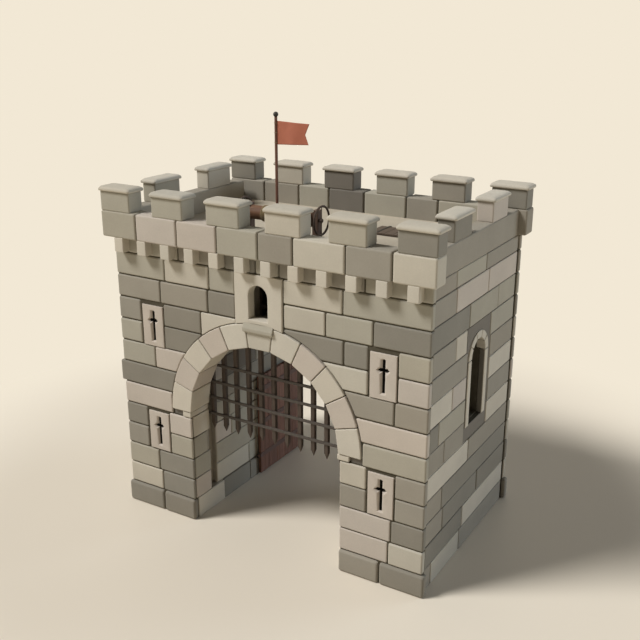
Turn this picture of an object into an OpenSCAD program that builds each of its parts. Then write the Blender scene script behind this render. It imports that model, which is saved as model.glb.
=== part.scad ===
// Town gatehouse: a small stone gate with a vaulted entrance, portcullis,
// two gate leaves, a roof windlass, a roof hatch and a flag.
// Millimetres. +Z up, X across the front, the front faces -Y.
// Origin: centre of the footprint, at ground level.

/* [Main block] */
// Width of the front and rear walls
body_w = 6000; // [5800:10:6200]
// Depth from the front wall face to the rear wall face
body_d = 3726; // [3600:2:3900]
// Height of one course of stone
course_h = 405.5; // [395:0.5:410]
// Courses from the ground to the corbels
courses = 12; // [12:1:12]
// Thickness of the front and rear walls
wall_t = 500; // [480:5:520]
// Thickness of the side walls
side_t = 370; // [340:5:400]
// How far the side wall face lies behind the wall ends
side_set = 30; // [20:5:40]
// Distance of the side windows from the middle of the side wall, towards the rear
win_y = 115; // [0:5:200]
// Depth of the wall ends that stand proud of the side walls
quoin_d = 130; // [100:5:160]

// Depth of the joints: the wall solids stop this far behind the faces of the stones
joint_d = 20; // [15:1:25]

/* [Gate passage] */
// Half width of the passage at the front jambs
jamb_x = 1500; // [1480:5:1510]
// Half width of the passage behind the portcullis
hall_x = 1540; // [1535:1:1550]
// Thickness of the walls beside the passage
hall_t = 300; // [260:10:340]
// Depth of the slot that the portcullis runs in
groove_d = 225; // [180:5:240]
// Height of the arch springing
spring_z = 2138; // [2120:2:2150]
// Inner radius of the front arch
arch_ri = 1484; // [1470:2:1490]
// Outer radius of the front arch
arch_ro = 1899; // [1880:1:1920]
// How far the arch stones stand proud of the wall
arch_proud = 30; // [15:5:40]
// Number of arch stones
arch_n = 11; // [9:2:13]
// Depth of the arch stones into the wall
arch_d = 500; // [480:5:520]

/* [Parapet] */
// Top of the corbels and underside of the parapet
corbel_top = 5145; // [5130:5:5160]
// Underside of the corbels
corbel_bot = 4895; // [4870:5:4900]
// Number of corbels on each long face
corbel_n = 12; // [10:1:13]
// Distance between corbels
corbel_pitch = 502; // [480:1:520]
// Width of a corbel
corbel_w = 195; // [160:5:200]
// How far the parapet stands out over the wall
parapet_out = 170; // [150:5:180]
// Thickness of the front and rear parapets
parapet_t = 350; // [320:5:360]
// Top of the parapet
parapet_top = 5600; // [5560:5:5640]
// Half length of the front and rear parapets
parapet_x = 3110; // [3090:5:3130]
// Width of a merlon on the long faces
merlon_w = 640; // [600:5:660]
// Distance between merlons on the long faces
merlon_pitch = 1120; // [1100:5:1125]
// Top of the merlon bodies
merlon_top = 5925; // [5900:5:5950]
// Thickness of the cap stones
cap_h = 90; // [60:2:100]
// Overhang of the cap stones
cap_out = 35; // [30:1:55]
// Length of a merlon on the sides
side_merlon_w = 680; // [640:5:700]
// Half distance between the two merlons of one side
side_merlon_y = 775; // [740:5:800]
// Top of the roof deck
deck_top = 5200; // [5190:5:5220]
// Thickness of the roof deck
deck_t = 120; // [110:5:130]

/* [Portcullis] */
// Height of the points above the ground, as stored half raised
port_tip = 1615; // [1600:5:1700]
// Top of the bars, as stored
port_top = 4930; // [4900:5:4940]
// Number of upright bars
bar_n = 12; // [12:1:12]
// Distance between the bars
bar_pitch = 263; // [255:1:264]
// Size of a bar across
bar_w = 76; // [50:2:80]
// Middle plane of the bars, behind the front wall face
bar_y = 590; // [585:1:592]
// Height of a cross rail
rail_h = 50; // [40:2:60]
// Thickness of a cross rail
rail_t = 28; // [20:2:30]

/* [Gate leaves] */
// Thickness of a gate leaf
leaf_t = 60; // [50:5:60]
// Height of a gate leaf
leaf_h = 2070; // [2000:5:2080]
// Distance of the hinge line behind the front wall face
hinge_y = 1985; // [1960:5:2000]

/* [Roof gear] */
// Height of the windlass axis
wind_z = 5690; // [5670:5:5720]
// Distance of the windlass axis behind the front wall face
wind_y = 684; // [680:1:690]
// Radius of the drum
drum_r = 115; // [95:5:120]
// Diameter of the lift ropes
rope_d = 20; // [16:1:30]
// Radius of the hand wheels
wheel_r = 245; // [220:5:250]
// Height of the flag pole's finial
finial_z = 7300; // [7200:10:7400]

/* [Hidden] */
$fn = 48;
hd = body_d/2;                 // front face is at y = -hd
hw = body_w/2;
y0 = -hd;
wall_top = deck_top - deck_t;  // walls stop under the deck
side_face = hw - side_set;
hall_wall_x = hall_x + hall_t;
ledge = corbel_top;
plate_x = 2240; plate_w = 450; plate_h = 740; plate_t = 110;
plate_z = [1605, 3615];        // middle heights of the slit plates
slit_w = 56; slit_h = 580; slit_arm = 215; slit_up = 110;
win_w = 580; win_z0 = 2325; win_spring = 3465; win_rim = 137;
port_h = port_top - port_tip;
rope_x = 215; wind_x = 20;
side_par_t = parapet_t - 35;  // the side parapets are thinner
rail_up = [327, 645, 950, 1280, 1910, 2540, port_h - 35];
wood = "saddlebrown"; iron = [0.16, 0.14, 0.12];
stone_a = [0.68, 0.64, 0.55]; stone_b = [0.56, 0.53, 0.46]; stone_c = [0.74, 0.69, 0.60];

module box(x0, x1, ya, yb, z0, z1) translate([x0, ya, z0]) cube([x1 - x0, yb - ya, z1 - z0]);
module left_right(side) mirror([side < 0 ? 1 : 0, 0, 0]) children();

// upright round-headed opening or solid, half width r, from z0 to spring, along Y
module lancet(r, z0, spring, ya, yb) {
  box(-r, r, ya, yb, z0, spring);
  translate([0, yb, spring]) rotate([90, 0, 0]) cylinder(r = r, h = yb - ya);
}

// one end pier of the front wall, built for the +X side
module plate_pockets() for (pz = plate_z) {
  box(plate_x - plate_w/2, plate_x + plate_w/2, y0 - 1, y0 + plate_t - 12, pz - plate_h/2, pz + plate_h/2);
  box(plate_x - 150, plate_x + 150, y0 + plate_t - 13, y0 + wall_t + 1, pz - 320, pz + 320);
}
module pier(jx) difference() {
  union() {
    box(2200, hw - joint_d, y0 + joint_d, y0 + quoin_d - 10, 0, wall_top);
    box(2200, side_face - side_t, y0 + quoin_d - 11, y0 + wall_t, 0, wall_top);
    box(jx + joint_d, 2201, y0 + joint_d, y0 + wall_t - joint_d, 0, 5*course_h);
  }
  plate_pockets();
}
module front_pier_left() color(stone_b) left_right(-1) pier(jamb_x);
module front_pier_right() color(stone_b) left_right(1) pier(jamb_x);
module rear_pier_left() color(stone_b) mirror([0, 1, 0]) left_right(-1) pier(hall_x);
module rear_pier_right() color(stone_b) mirror([0, 1, 0]) left_right(1) pier(hall_x);

// wall over the arch, cut to the outer line of the arch stones
module spandrel(ro) difference() {
  box(-2200, 2200, y0 + joint_d, y0 + wall_t, 5*course_h, wall_top);
  translate([0, y0 + wall_t + 1, spring_z]) rotate([90, 0, 0]) cylinder(r = ro, h = wall_t + 2, $fn = 300);
  box(-ro, ro, y0 - 1, y0 + wall_t + 1, 5*course_h - 1, spring_z);
  for (s = [-1, 1]) left_right(s) plate_pockets();
}
module front_spandrel() color(stone_a) difference() {
  spandrel(arch_ro);
  box(-455, 455, y0 - 1, y0 + 140, spring_z + arch_ro - 400, wall_top + 1);
  lancet(330, 4000, 4500, y0 + 139, y0 + wall_t + 1);
}
module rear_spandrel() color(stone_a) mirror([0, 1, 0]) spandrel(arch_ro + hall_x - jamb_x);

// arch stones: flat-faced wedges with fine joints between them
module arch_ring(ri, ro) {
  a = 180/arch_n;
  for (k = [0:arch_n - 1]) {
    a0 = k*a + (k == 0 ? 0 : 0.12); a1 = (k + 1)*a - (k == arch_n - 1 ? 0 : 0.12);
    translate([0, y0 + arch_d, spring_z]) rotate([90, 0, 0]) linear_extrude(height = arch_d + arch_proud)
      polygon([[ri*cos(a0), ri*sin(a0)], [ro*cos(a0), ro*sin(a0)],
               [ro*cos((a0 + a1)/2), ro*sin((a0 + a1)/2)], [ro*cos(a1), ro*sin(a1)], [ri*cos(a1), ri*sin(a1)]]);
  }
}
module front_arch_ring() color(stone_c) arch_ring(arch_ri, arch_ro - 6);
module rear_arch_ring() color(stone_c) mirror([0, 1, 0]) arch_ring(arch_ri + hall_x - jamb_x, arch_ro + hall_x - jamb_x - 6);
module arch_imposts() color(stone_c) for (s = [-1, 1]) left_right(s) {
  box(jamb_x, arch_ro, y0 + 5, y0 + wall_t, 5*course_h, spring_z);
  mirror([0, 1, 0]) box(hall_x, arch_ro + 40, y0 + 5, y0 + wall_t, 5*course_h, spring_z);
}

// light stone panel with a round-headed window, above the keystone
module niche_panel() color(stone_c) difference() {
  union() {
    box(-453, 453, y0 - 30, y0 + 138, 3700, corbel_bot - 2);
    box(-453, 453, y0, y0 + 138, 3700, wall_top);
  }
  translate([0, y0 + 140, spring_z]) rotate([90, 0, 0]) cylinder(r = arch_ro + 1, h = 180, $fn = 300);
  lancet(183, 4110, 4507, y0 - 31, y0 + 140);
}
module niche_sill() color(stone_c) translate([-290, 0, 0]) rotate([90, 0, 90]) linear_extrude(height = 580)
  polygon([[y0 - 30.3, 4055], [y0 - 30.3, 3885], [y0 - 75, 3885], [y0 - 105, 3900], [y0 - 105, 3960], [y0 - 90, 3975]]);

module side_wall() difference() {
  box(side_face - side_t, side_face - joint_d, -hd + quoin_d - 10, hd - quoin_d + 10, 0, wall_top);
  translate([0, win_y, 0]) rotate([0, 0, 90]) mirror([0, 1, 0]) {
    lancet(win_w/2 + win_rim, win_z0 - 30, win_spring, side_face - 90, side_face + 1);
    lancet(win_w/2, win_z0, win_spring, side_face - side_t - 1, side_face - 80);
  }
}
module side_wall_left() color(stone_b) left_right(-1) side_wall();
module side_wall_right() color(stone_b) left_right(1) side_wall();
module surround() translate([0, win_y, 0]) rotate([0, 0, 90]) mirror([0, 1, 0]) difference() {
  lancet(win_w/2 + win_rim - 5, win_z0 - 30, win_spring, side_face - 89, side_face + 20);
  lancet(win_w/2, win_z0 - 31, win_spring, side_face - 92, side_face + 22);
}
module window_surrounds() color(stone_c) for (s = [-1, 1]) left_right(s) surround();

module passage_wall() difference() {
  box(hall_x + joint_d, hall_wall_x, -hd + wall_t, hd - wall_t, 0, wall_top);
  box(hall_x - 1, hall_x + 100, -hd + wall_t - 1, -hd + wall_t + groove_d, course_h, wall_top + 1);
}
module plinth_toe() box(jamb_x + joint_d, hall_x + joint_d, -hd + wall_t, -hd + wall_t + groove_d, 0, course_h);
module passage_wall_left() color(stone_b) left_right(-1) { passage_wall(); plinth_toe(); }
module passage_wall_right() color(stone_b) left_right(1) { passage_wall(); plinth_toe(); }

module inner_floors() color(wood) {
  box(-hall_x - joint_d, hall_x + joint_d, -hd + wall_t + groove_d, hd - wall_t, 3720, 3840);
  for (s = [-1, 1]) left_right(s) box(hall_wall_x, side_face - side_t, -hd + wall_t, hd - wall_t, 2130, 2250);
}

hatch = [835, 1600, 2100 - body_d/2, 2600 - body_d/2];   // x0, x1, y0, y1
module roof_deck() color(stone_a) difference() {
  union() {
    box(-side_face + joint_d, side_face - joint_d, -hd + joint_d, hd - joint_d, wall_top, ledge);
    box(-side_face + side_par_t - 15, side_face - side_par_t + 15, -hd + parapet_t - parapet_out, hd - parapet_t + parapet_out, ledge, deck_top);
  }
  box(hatch[0] + 55, hatch[1] - 55, hatch[2] + 55, hatch[3] - 55, wall_top - 1, deck_top + 1);
  for (s = [-1, 1]) translate([s*rope_x, y0 + wind_y - drum_r - rope_d/2, wall_top - 1]) cylinder(r = 40, h = deck_t + 2);
}

module long_parapet() box(-parapet_x, parapet_x, y0 - parapet_out, y0 - parapet_out + parapet_t, ledge, parapet_top);
module front_parapet() color(stone_a) long_parapet();
module rear_parapet() color(stone_b) mirror([0, 1, 0]) long_parapet();
module side_parapets() color(stone_b) for (s = [-1, 1]) left_right(s)
  box(side_face - side_par_t + 15, side_face, y0 - parapet_out + parapet_t, -y0 + parapet_out - parapet_t, ledge, parapet_top);

function merlon_x(k, dx) = (k - 2.5)*merlon_pitch + dx;
function merlon_lo(k, dx) = max(merlon_x(k, dx) - merlon_w/2, -parapet_x);
function merlon_hi(k, dx) = min(merlon_x(k, dx) + merlon_w/2, parapet_x);
module long_merlons(dx) for (k = [0:5])
  box(merlon_lo(k, dx), merlon_hi(k, dx), y0 - parapet_out + 10, y0 - parapet_out + parapet_t - 5, parapet_top, merlon_top);
module front_merlons() color(stone_b) long_merlons(5);
module rear_merlons() color(stone_b) mirror([0, 1, 0]) long_merlons(-35);
module side_merlons() color(stone_b) for (s = [-1, 1], t = [-1, 1]) left_right(s)
  box(side_face - side_par_t + 20, side_face - 5, t*side_merlon_y - side_merlon_w/2, t*side_merlon_y + side_merlon_w/2, parapet_top, merlon_top);
module cap(x0, x1, ya, yb) {
  box(x0 - cap_out, x1 + cap_out, ya - cap_out, yb + cap_out, merlon_top, merlon_top + cap_h - 18);
  box(x0 - cap_out + 15, x1 + cap_out - 15, ya - cap_out + 15, yb + cap_out - 15, merlon_top + cap_h - 18, merlon_top + cap_h);
}
module merlon_caps() color(stone_c) {
  for (m = [0, 1], k = [0:5]) mirror([0, m, 0])
    cap(merlon_lo(k, 5 - 40*m), merlon_hi(k, 5 - 40*m), y0 - parapet_out + 10, y0 - parapet_out + parapet_t - 5);
  for (s = [-1, 1], t = [-1, 1]) left_right(s)
    cap(side_face - side_par_t + 20, side_face - 5, t*side_merlon_y - side_merlon_w/2, t*side_merlon_y + side_merlon_w/2);
}

module corbel_row(side) for (k = [0:corbel_n - 1]) translate([(k - (corbel_n - 1)/2)*corbel_pitch, 0, 0])
  box(-corbel_w/2, corbel_w/2, y0 - parapet_out, y0 + (side > 0 && abs(k - (corbel_n - 1)/2) < 0.6 ? 0 : joint_d), corbel_bot, corbel_top);
module front_corbels() color(stone_c) corbel_row(1);
module rear_corbels() color(stone_c) mirror([0, 1, 0]) corbel_row(-1);

// light stone plates with a cross-shaped arrow slit
module slit_plate(pz) difference() {
  box(plate_x - plate_w/2, plate_x + plate_w/2, y0 - 12, y0 + plate_t - 13, pz - plate_h/2, pz + plate_h/2);
  box(plate_x - slit_w/2, plate_x + slit_w/2, y0 - 13, y0 + plate_t, pz - slit_h/2, pz + slit_h/2);
  box(plate_x - slit_arm/2, plate_x + slit_arm/2, y0 - 13, y0 + plate_t, pz + slit_up - slit_w/2, pz + slit_up + slit_w/2);
}
module slit_plates_front() color(stone_c) for (s = [-1, 1], pz = plate_z) left_right(s) slit_plate(pz);
module slit_plates_rear() color(stone_c) for (s = [-1, 1], pz = plate_z) mirror([0, 1, 0]) left_right(s) slit_plate(pz);

// portcullis: pointed bars with flat rails across their front
module portcullis_bars() color(wood) for (k = [0:bar_n - 1])
  translate([(k - (bar_n - 1)/2)*bar_pitch, y0 + bar_y + bar_w/2, 0]) rotate([90, 0, 0]) linear_extrude(height = bar_w)
    polygon([[-bar_w/2, port_top], [-bar_w/2, port_tip + 130], [0, port_tip], [bar_w/2, port_tip + 130], [bar_w/2, port_top]]);
module portcullis_rails() color(iron) {
  for (u = rail_up) box(-1600, 1600, y0 + bar_y - bar_w/2 - rail_t, y0 + bar_y - bar_w/2, port_tip + u - rail_h/2, port_tip + u + rail_h/2);
  for (s = [-1, 1]) {
    box(s*rope_x - 30, s*rope_x + 30, y0 + bar_y - bar_w/2 - rail_t, y0 + bar_y - bar_w/2, port_top - 11, port_top + 1);
    box(s*rope_x - 30, s*rope_x + 30, y0 + bar_y - bar_w/2 - rail_t, y0 + bar_y + 10, port_top, port_top + 40);
  }
}

// gate leaf, stored open along the passage wall; built for the +X side
axis_x = hall_x - 62;
leaf_len = axis_x - 5;
strap_z = [430, 1130, 1830];
pintle_z = [430, 1830];
module leaf() box(axis_x - leaf_t/2, axis_x + leaf_t/2, y0 + hinge_y + 32, y0 + hinge_y + leaf_len, 30, 30 + leaf_h);
module gate_leaf_left() color(wood) left_right(-1) leaf();
module gate_leaf_right() color(wood) left_right(1) leaf();
module straps() {
  for (z = strap_z) box(axis_x - leaf_t/2 - 12, axis_x - leaf_t/2, y0 + hinge_y + 34, y0 + hinge_y + leaf_len - 40, z - 45, z + 45);
  for (z = pintle_z) difference() {
    union() {
      translate([axis_x, y0 + hinge_y, z - 30]) cylinder(r = 24, h = 60);
      box(axis_x - 24, axis_x, y0 + hinge_y, y0 + hinge_y + 32, z - 30, z + 30);
      box(axis_x - leaf_t/2 - 12, axis_x - 20, y0 + hinge_y + 4, y0 + hinge_y + 31, z - 30, z + 30);
      box(axis_x - leaf_t/2 - 12, axis_x - leaf_t/2, y0 + hinge_y + 4, y0 + hinge_y + 35, z - 30, z + 30);
    }
    translate([axis_x, y0 + hinge_y, z - 31]) cylinder(r = 12.1, h = 62);
  }
}
module gate_straps_left() color(iron) left_right(-1) straps();
module gate_straps_right() color(iron) left_right(1) straps();
module gate_pintles() color(iron) for (s = [-1, 1], z = pintle_z) left_right(s) {
  translate([axis_x, y0 + hinge_y, z - 60]) cylinder(r = 12, h = 100);
  box(axis_x, hall_x + joint_d, y0 + hinge_y - 12, y0 + hinge_y + 12, z - 60, z - 36);
}

// windlass over the portcullis
post_in = 590; post_b = 105; post_d = 134; axle_r = 25;
module windlass_posts() color(wood) translate([wind_x, 0, 0]) for (s = [-1, 1]) left_right(s) difference() {
  box(post_in, post_in + post_b, y0 + wind_y - 54, y0 + wind_y + post_d - 54, deck_top, 5850);
  translate([post_in - 1, y0 + wind_y, wind_z]) rotate([0, 90, 0]) cylinder(r = axle_r + 0.1, h = post_b + 2);
}
module windlass_drum() color(wood) translate([wind_x, y0 + wind_y, wind_z]) rotate([0, 90, 0]) {
  translate([0, 0, -post_in + 8]) cylinder(r = drum_r, h = 2*post_in - 16);
  translate([0, 0, -758]) cylinder(r = axle_r, h = 1516);
}
module wheel() {
  rotate_extrude($fn = 72) translate([wheel_r - 18, 0]) circle(r = 18, $fn = 20);
  difference() {
    translate([0, 0, -16]) cylinder(r = 44, h = 32);
    translate([0, 0, -17]) cylinder(r = axle_r, h = 34);
  }
  for (a = [0, 180]) rotate([0, 0, a]) translate([42, -7, -7]) cube([wheel_r - 60, 14, 14]);
}
module windlass_wheels() color(iron) for (s = [-1, 1]) translate([wind_x + s*735, y0 + wind_y, wind_z]) rotate([0, 90, 0]) wheel();
module rope_windings() color("khaki") for (s = [-1, 1]) translate([s*rope_x - 110, y0 + wind_y, wind_z]) rotate([0, 90, 0]) difference() {
  cylinder(r = drum_r + rope_d, h = 220);
  translate([0, 0, -1]) cylinder(r = drum_r, h = 222);
}
module lift_ropes() color("khaki") for (s = [-1, 1])
  translate([s*rope_x, y0 + wind_y - drum_r - rope_d/2, port_top + 40]) cylinder(r = rope_d/2, h = wind_z - 77 - port_top - 40, $fn = 24);

// roof hatch with its lid closed
hatch_z = deck_top + 16;
module hatch_frame() color(wood) difference() {
  box(hatch[0] + 15, hatch[1] - 15, hatch[2] + 15, hatch[3] - 15, deck_top, hatch_z - 2);
  box(hatch[0] + 55, hatch[1] - 55, hatch[2] + 55, hatch[3] - 55, deck_top - 1, hatch_z + 1);
}
module hatch_lid() color(wood) box(hatch[0], hatch[1], hatch[2], hatch[3], hatch_z, hatch_z + 30);
hatch_ax_y = hatch[3] + 24; hatch_ax_z = hatch_z + 22;
hatch_strap_x = [985, 1450];
module hatch_straps_body() for (x = hatch_strap_x) {
  box(x - 18, x + 18, hatch[2] + 30, hatch[3], hatch_z + 30, hatch_z + 36);
  box(x - 18, x + 18, hatch[3], hatch_ax_y, hatch_z + 16, hatch_z + 36);
  translate([x - 18, hatch_ax_y, hatch_ax_z]) rotate([0, 90, 0]) cylinder(r = 14, h = 36);
}
module hatch_straps() color(iron) difference() {
  hatch_straps_body();
  for (x = hatch_strap_x) translate([x - 19, hatch_ax_y, hatch_ax_z]) rotate([0, 90, 0]) cylinder(r = 7.1, h = 38);
}

module hatch_pins() color(iron) for (x = hatch_strap_x) {
  translate([x - 32, hatch_ax_y, hatch_ax_z]) rotate([0, 90, 0]) cylinder(r = 7, h = 64);
  for (s = [-1, 1]) box(x + s*27 - 5, x + s*27 + 5, hatch_ax_y - 9, hatch_ax_y + 9, deck_top, hatch_ax_z + 9);
}

pole_x = 55; pole_y = y0 + 490; pole_r = 23;
module flagpole() color(wood) translate([pole_x, pole_y, deck_top]) cylinder(r = pole_r, h = finial_z - deck_top - 36);
module finial() color(iron) translate([pole_x, pole_y, finial_z]) difference() { sphere(r = 40); translate([-50, -50, -136]) cube([100, 100, 100]); }
module flag() color([0.70, 0.37, 0.27]) translate([0, pole_y + 4, 0]) rotate([90, 0, 0]) linear_extrude(height = 8)
  polygon([[pole_x + pole_r, 6845], [pole_x + pole_r, 7203], [652, 7186], [578, 7015], [636, 6872]]);

front_pier_left();
front_pier_right();
front_spandrel();
rear_pier_left();
rear_pier_right();
rear_spandrel();
front_arch_ring();
rear_arch_ring();
arch_imposts();
niche_panel();
niche_sill();
side_wall_left();
side_wall_right();
window_surrounds();
passage_wall_left();
passage_wall_right();
inner_floors();
roof_deck();
front_parapet();
rear_parapet();
side_parapets();
front_merlons();
rear_merlons();
side_merlons();
merlon_caps();
front_corbels();
rear_corbels();
slit_plates_front();
slit_plates_rear();
portcullis_bars();
portcullis_rails();
gate_leaf_left();
gate_leaf_right();
gate_straps_left();
gate_straps_right();
gate_pintles();
windlass_posts();
windlass_drum();
windlass_wheels();
rope_windings();
lift_ropes();
hatch_frame();
hatch_pins();
hatch_lid();
hatch_straps();
flagpole();
finial();
flag();
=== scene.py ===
"""Town gatehouse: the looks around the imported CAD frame. Metres; the front faces -Y, Z is up."""
import math
import random

import bmesh
import bpy
import numpy as np
from mathutils import Matrix, Vector


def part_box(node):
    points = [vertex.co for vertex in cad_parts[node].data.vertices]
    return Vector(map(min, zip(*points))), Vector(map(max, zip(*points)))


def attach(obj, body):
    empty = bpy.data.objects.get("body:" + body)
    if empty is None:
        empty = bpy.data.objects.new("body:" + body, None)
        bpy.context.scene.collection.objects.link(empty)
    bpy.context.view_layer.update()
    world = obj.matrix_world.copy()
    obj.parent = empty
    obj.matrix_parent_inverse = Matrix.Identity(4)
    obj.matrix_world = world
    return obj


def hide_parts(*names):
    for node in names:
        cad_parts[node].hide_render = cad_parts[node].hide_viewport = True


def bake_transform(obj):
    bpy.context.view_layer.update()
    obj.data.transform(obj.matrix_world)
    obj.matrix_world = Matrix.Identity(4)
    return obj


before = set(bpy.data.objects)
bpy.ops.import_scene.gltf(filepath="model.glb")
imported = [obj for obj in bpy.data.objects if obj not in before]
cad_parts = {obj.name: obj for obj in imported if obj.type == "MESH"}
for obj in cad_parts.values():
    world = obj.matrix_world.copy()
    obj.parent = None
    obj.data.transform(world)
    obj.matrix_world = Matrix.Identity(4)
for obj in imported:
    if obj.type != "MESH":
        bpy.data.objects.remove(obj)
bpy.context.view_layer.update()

# ---------------------------------------------------------------- sizes, from the CAD frame
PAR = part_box("front_parapet")
PAR_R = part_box("rear_parapet")
SIDE_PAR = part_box("side_parapets")
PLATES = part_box("slit_plates_front")
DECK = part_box("roof_deck")
HD = 1.863                     # half depth: the stone faces of the front and rear walls
HW = 3.0                       # half width: the stone faces at the wall ends
SF = 2.97                      # stone faces of the side walls
JX = 1.5                       # stone faces of the front jambs
HX = 1.54                      # stone faces of the passage behind the portcullis
CH = 0.4055                    # one course
SPRING = 2.138
RI, RO = 1.484, 1.899
LEDGE = PAR[0].z               # underside of the parapets
PTOP = PAR[1].z


def srgb(r, g, b):
    """An 8-bit screen colour as linear values."""
    def one(c):
        c /= 255
        return c / 12.92 if c <= 0.04045 else ((c + 0.055) / 1.055) ** 2.4
    return (one(r), one(g), one(b))


# stone tones by name, as linear reflectance
TONES = {
    "P": (0.500, 0.440, 0.372),   # light, pinkish
    "L": (0.480, 0.437, 0.355),   # light, yellowish
    "M": (0.375, 0.344, 0.274),   # middle, olive
    "G": (0.300, 0.270, 0.218),   # middle grey
    "D": (0.240, 0.219, 0.178),   # dark
    "C": (0.540, 0.492, 0.405),   # cream, for dressed stones
    "W": (0.176, 0.157, 0.130),   # plain strip round the side windows
}

# ---------------------------------------------------------------- materials


def material(name):
    m = bpy.data.materials.new(name)
    m.use_nodes = True
    n = m.node_tree.nodes
    n.clear()
    out = n.new("ShaderNodeOutputMaterial")
    b = n.new("ShaderNodeBsdfPrincipled")
    m.node_tree.links.new(b.outputs["BSDF"], out.inputs["Surface"])
    return m, m.node_tree, b


def link(t, a, b):
    t.links.new(a, b)


def mix(t, kind, fac, a, b):
    """Colour mix; a and b are sockets or colours, fac a socket or number."""
    n = t.nodes.new("ShaderNodeMix")
    n.data_type = "RGBA"
    n.blend_type = kind
    n.clamp_factor = True
    for sock, val in ((n.inputs[0], fac), (n.inputs[6], a), (n.inputs[7], b)):
        if hasattr(val, "node"):
            link(t, val, sock)
        elif isinstance(val, (int, float)):
            sock.default_value = val
        else:
            sock.default_value = (*val, 1) if len(val) == 3 else val
    return n.outputs[2]


def noise(t, scale, detail=3, rough=0.55, vec=None, dist=0.0):
    n = t.nodes.new("ShaderNodeTexNoise")
    n.inputs["Scale"].default_value = scale
    n.inputs["Detail"].default_value = detail
    n.inputs["Roughness"].default_value = rough
    n.inputs["Distortion"].default_value = dist
    if vec is not None:
        link(t, vec, n.inputs["Vector"])
    return n.outputs["Fac"]


def ramp(t, fac, lo, hi, a=0.0, b=1.0):
    n = t.nodes.new("ShaderNodeMapRange")
    link(t, fac, n.inputs["Value"])
    n.inputs["From Min"].default_value = lo
    n.inputs["From Max"].default_value = hi
    n.inputs["To Min"].default_value = a
    n.inputs["To Max"].default_value = b
    return n.outputs["Result"]


def coords(t, scale=(1, 1, 1), kind="Object"):
    c = t.nodes.new("ShaderNodeTexCoord")
    m = t.nodes.new("ShaderNodeMapping")
    m.inputs["Scale"].default_value = scale
    link(t, c.outputs[kind], m.inputs["Vector"])
    return m.outputs["Vector"]


def bump(t, b, height, strength, dist=0.01):
    n = t.nodes.new("ShaderNodeBump")
    n.inputs["Strength"].default_value = strength
    n.inputs["Distance"].default_value = dist
    link(t, height, n.inputs["Height"])
    link(t, n.outputs["Normal"], b.inputs["Normal"])


def stone_material(name="stone", tint=None, grain=1.0):
    """Sawn stone. Its colour is the tone written on each block, or tint where a CAD solid carries no tone."""
    m, t, b = material(name)
    v = coords(t)
    if tint is None:
        a = t.nodes.new("ShaderNodeAttribute")
        a.attribute_name = "tone"
        base = a.outputs["Color"]
    else:
        base = tint
    big = ramp(t, noise(t, 1.7, 4, 0.6, v), 0.3, 0.7, 0.955, 1.045)
    fine = ramp(t, noise(t, 38, 5, 0.65, v), 0.25, 0.75, 1 - 0.045 * grain, 1 + 0.045 * grain)
    mul = t.nodes.new("ShaderNodeMath")
    mul.operation = "MULTIPLY"
    link(t, big, mul.inputs[0])
    link(t, fine, mul.inputs[1])
    col = t.nodes.new("ShaderNodeVectorMath")
    col.operation = "SCALE"
    if hasattr(base, "node"):
        link(t, base, col.inputs[0])
    else:
        col.inputs[0].default_value = base
    link(t, mul.outputs[0], col.inputs["Scale"])
    link(t, col.outputs[0], b.inputs["Base Color"])
    link(t, ramp(t, noise(t, 24, 4, 0.6, v), 0.3, 0.7, 0.80, 0.92), b.inputs["Roughness"])
    b.inputs["Specular IOR Level"].default_value = 0.25
    bump(t, b, noise(t, 70, 6, 0.7, v), 0.10 * grain, 0.006)
    return m


def wood_material(name, a, c, along="Z", scale=1.0, rough=(0.55, 0.75), tone=True):
    """Sawn timber with long grain along an axis."""
    m, t, b = material(name)
    s = {"X": (1.2, 26, 26), "Y": (26, 1.2, 26), "Z": (26, 26, 1.2)}[along]
    v = coords(t, tuple(k * scale for k in s))
    g = noise(t, 1.0, 6, 0.65, v, 0.6)
    col = mix(t, "MIX", ramp(t, g, 0.32, 0.68), a, c)
    if tone:
        at = t.nodes.new("ShaderNodeAttribute")
        at.attribute_name = "tone"
        col = mix(t, "MULTIPLY", 1.0, col, at.outputs["Color"])
    link(t, col, b.inputs["Base Color"])
    link(t, ramp(t, g, 0.3, 0.7, rough[1], rough[0]), b.inputs["Roughness"])
    b.inputs["Specular IOR Level"].default_value = 0.35
    bump(t, b, g, 0.25, 0.004)
    return m


def iron_material(name="iron", col=(0.030, 0.027, 0.024), metal=0.6, rough=(0.45, 0.7)):
    m, t, b = material(name)
    v = coords(t)
    n1 = noise(t, 18, 5, 0.6, v)
    c = mix(t, "MIX", ramp(t, n1, 0.35, 0.72), col, tuple(k * 1.7 for k in col))
    link(t, c, b.inputs["Base Color"])
    b.inputs["Metallic"].default_value = metal
    link(t, ramp(t, n1, 0.3, 0.7, rough[0], rough[1]), b.inputs["Roughness"])
    bump(t, b, noise(t, 55, 4, 0.6, v), 0.22, 0.003)
    return m


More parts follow.
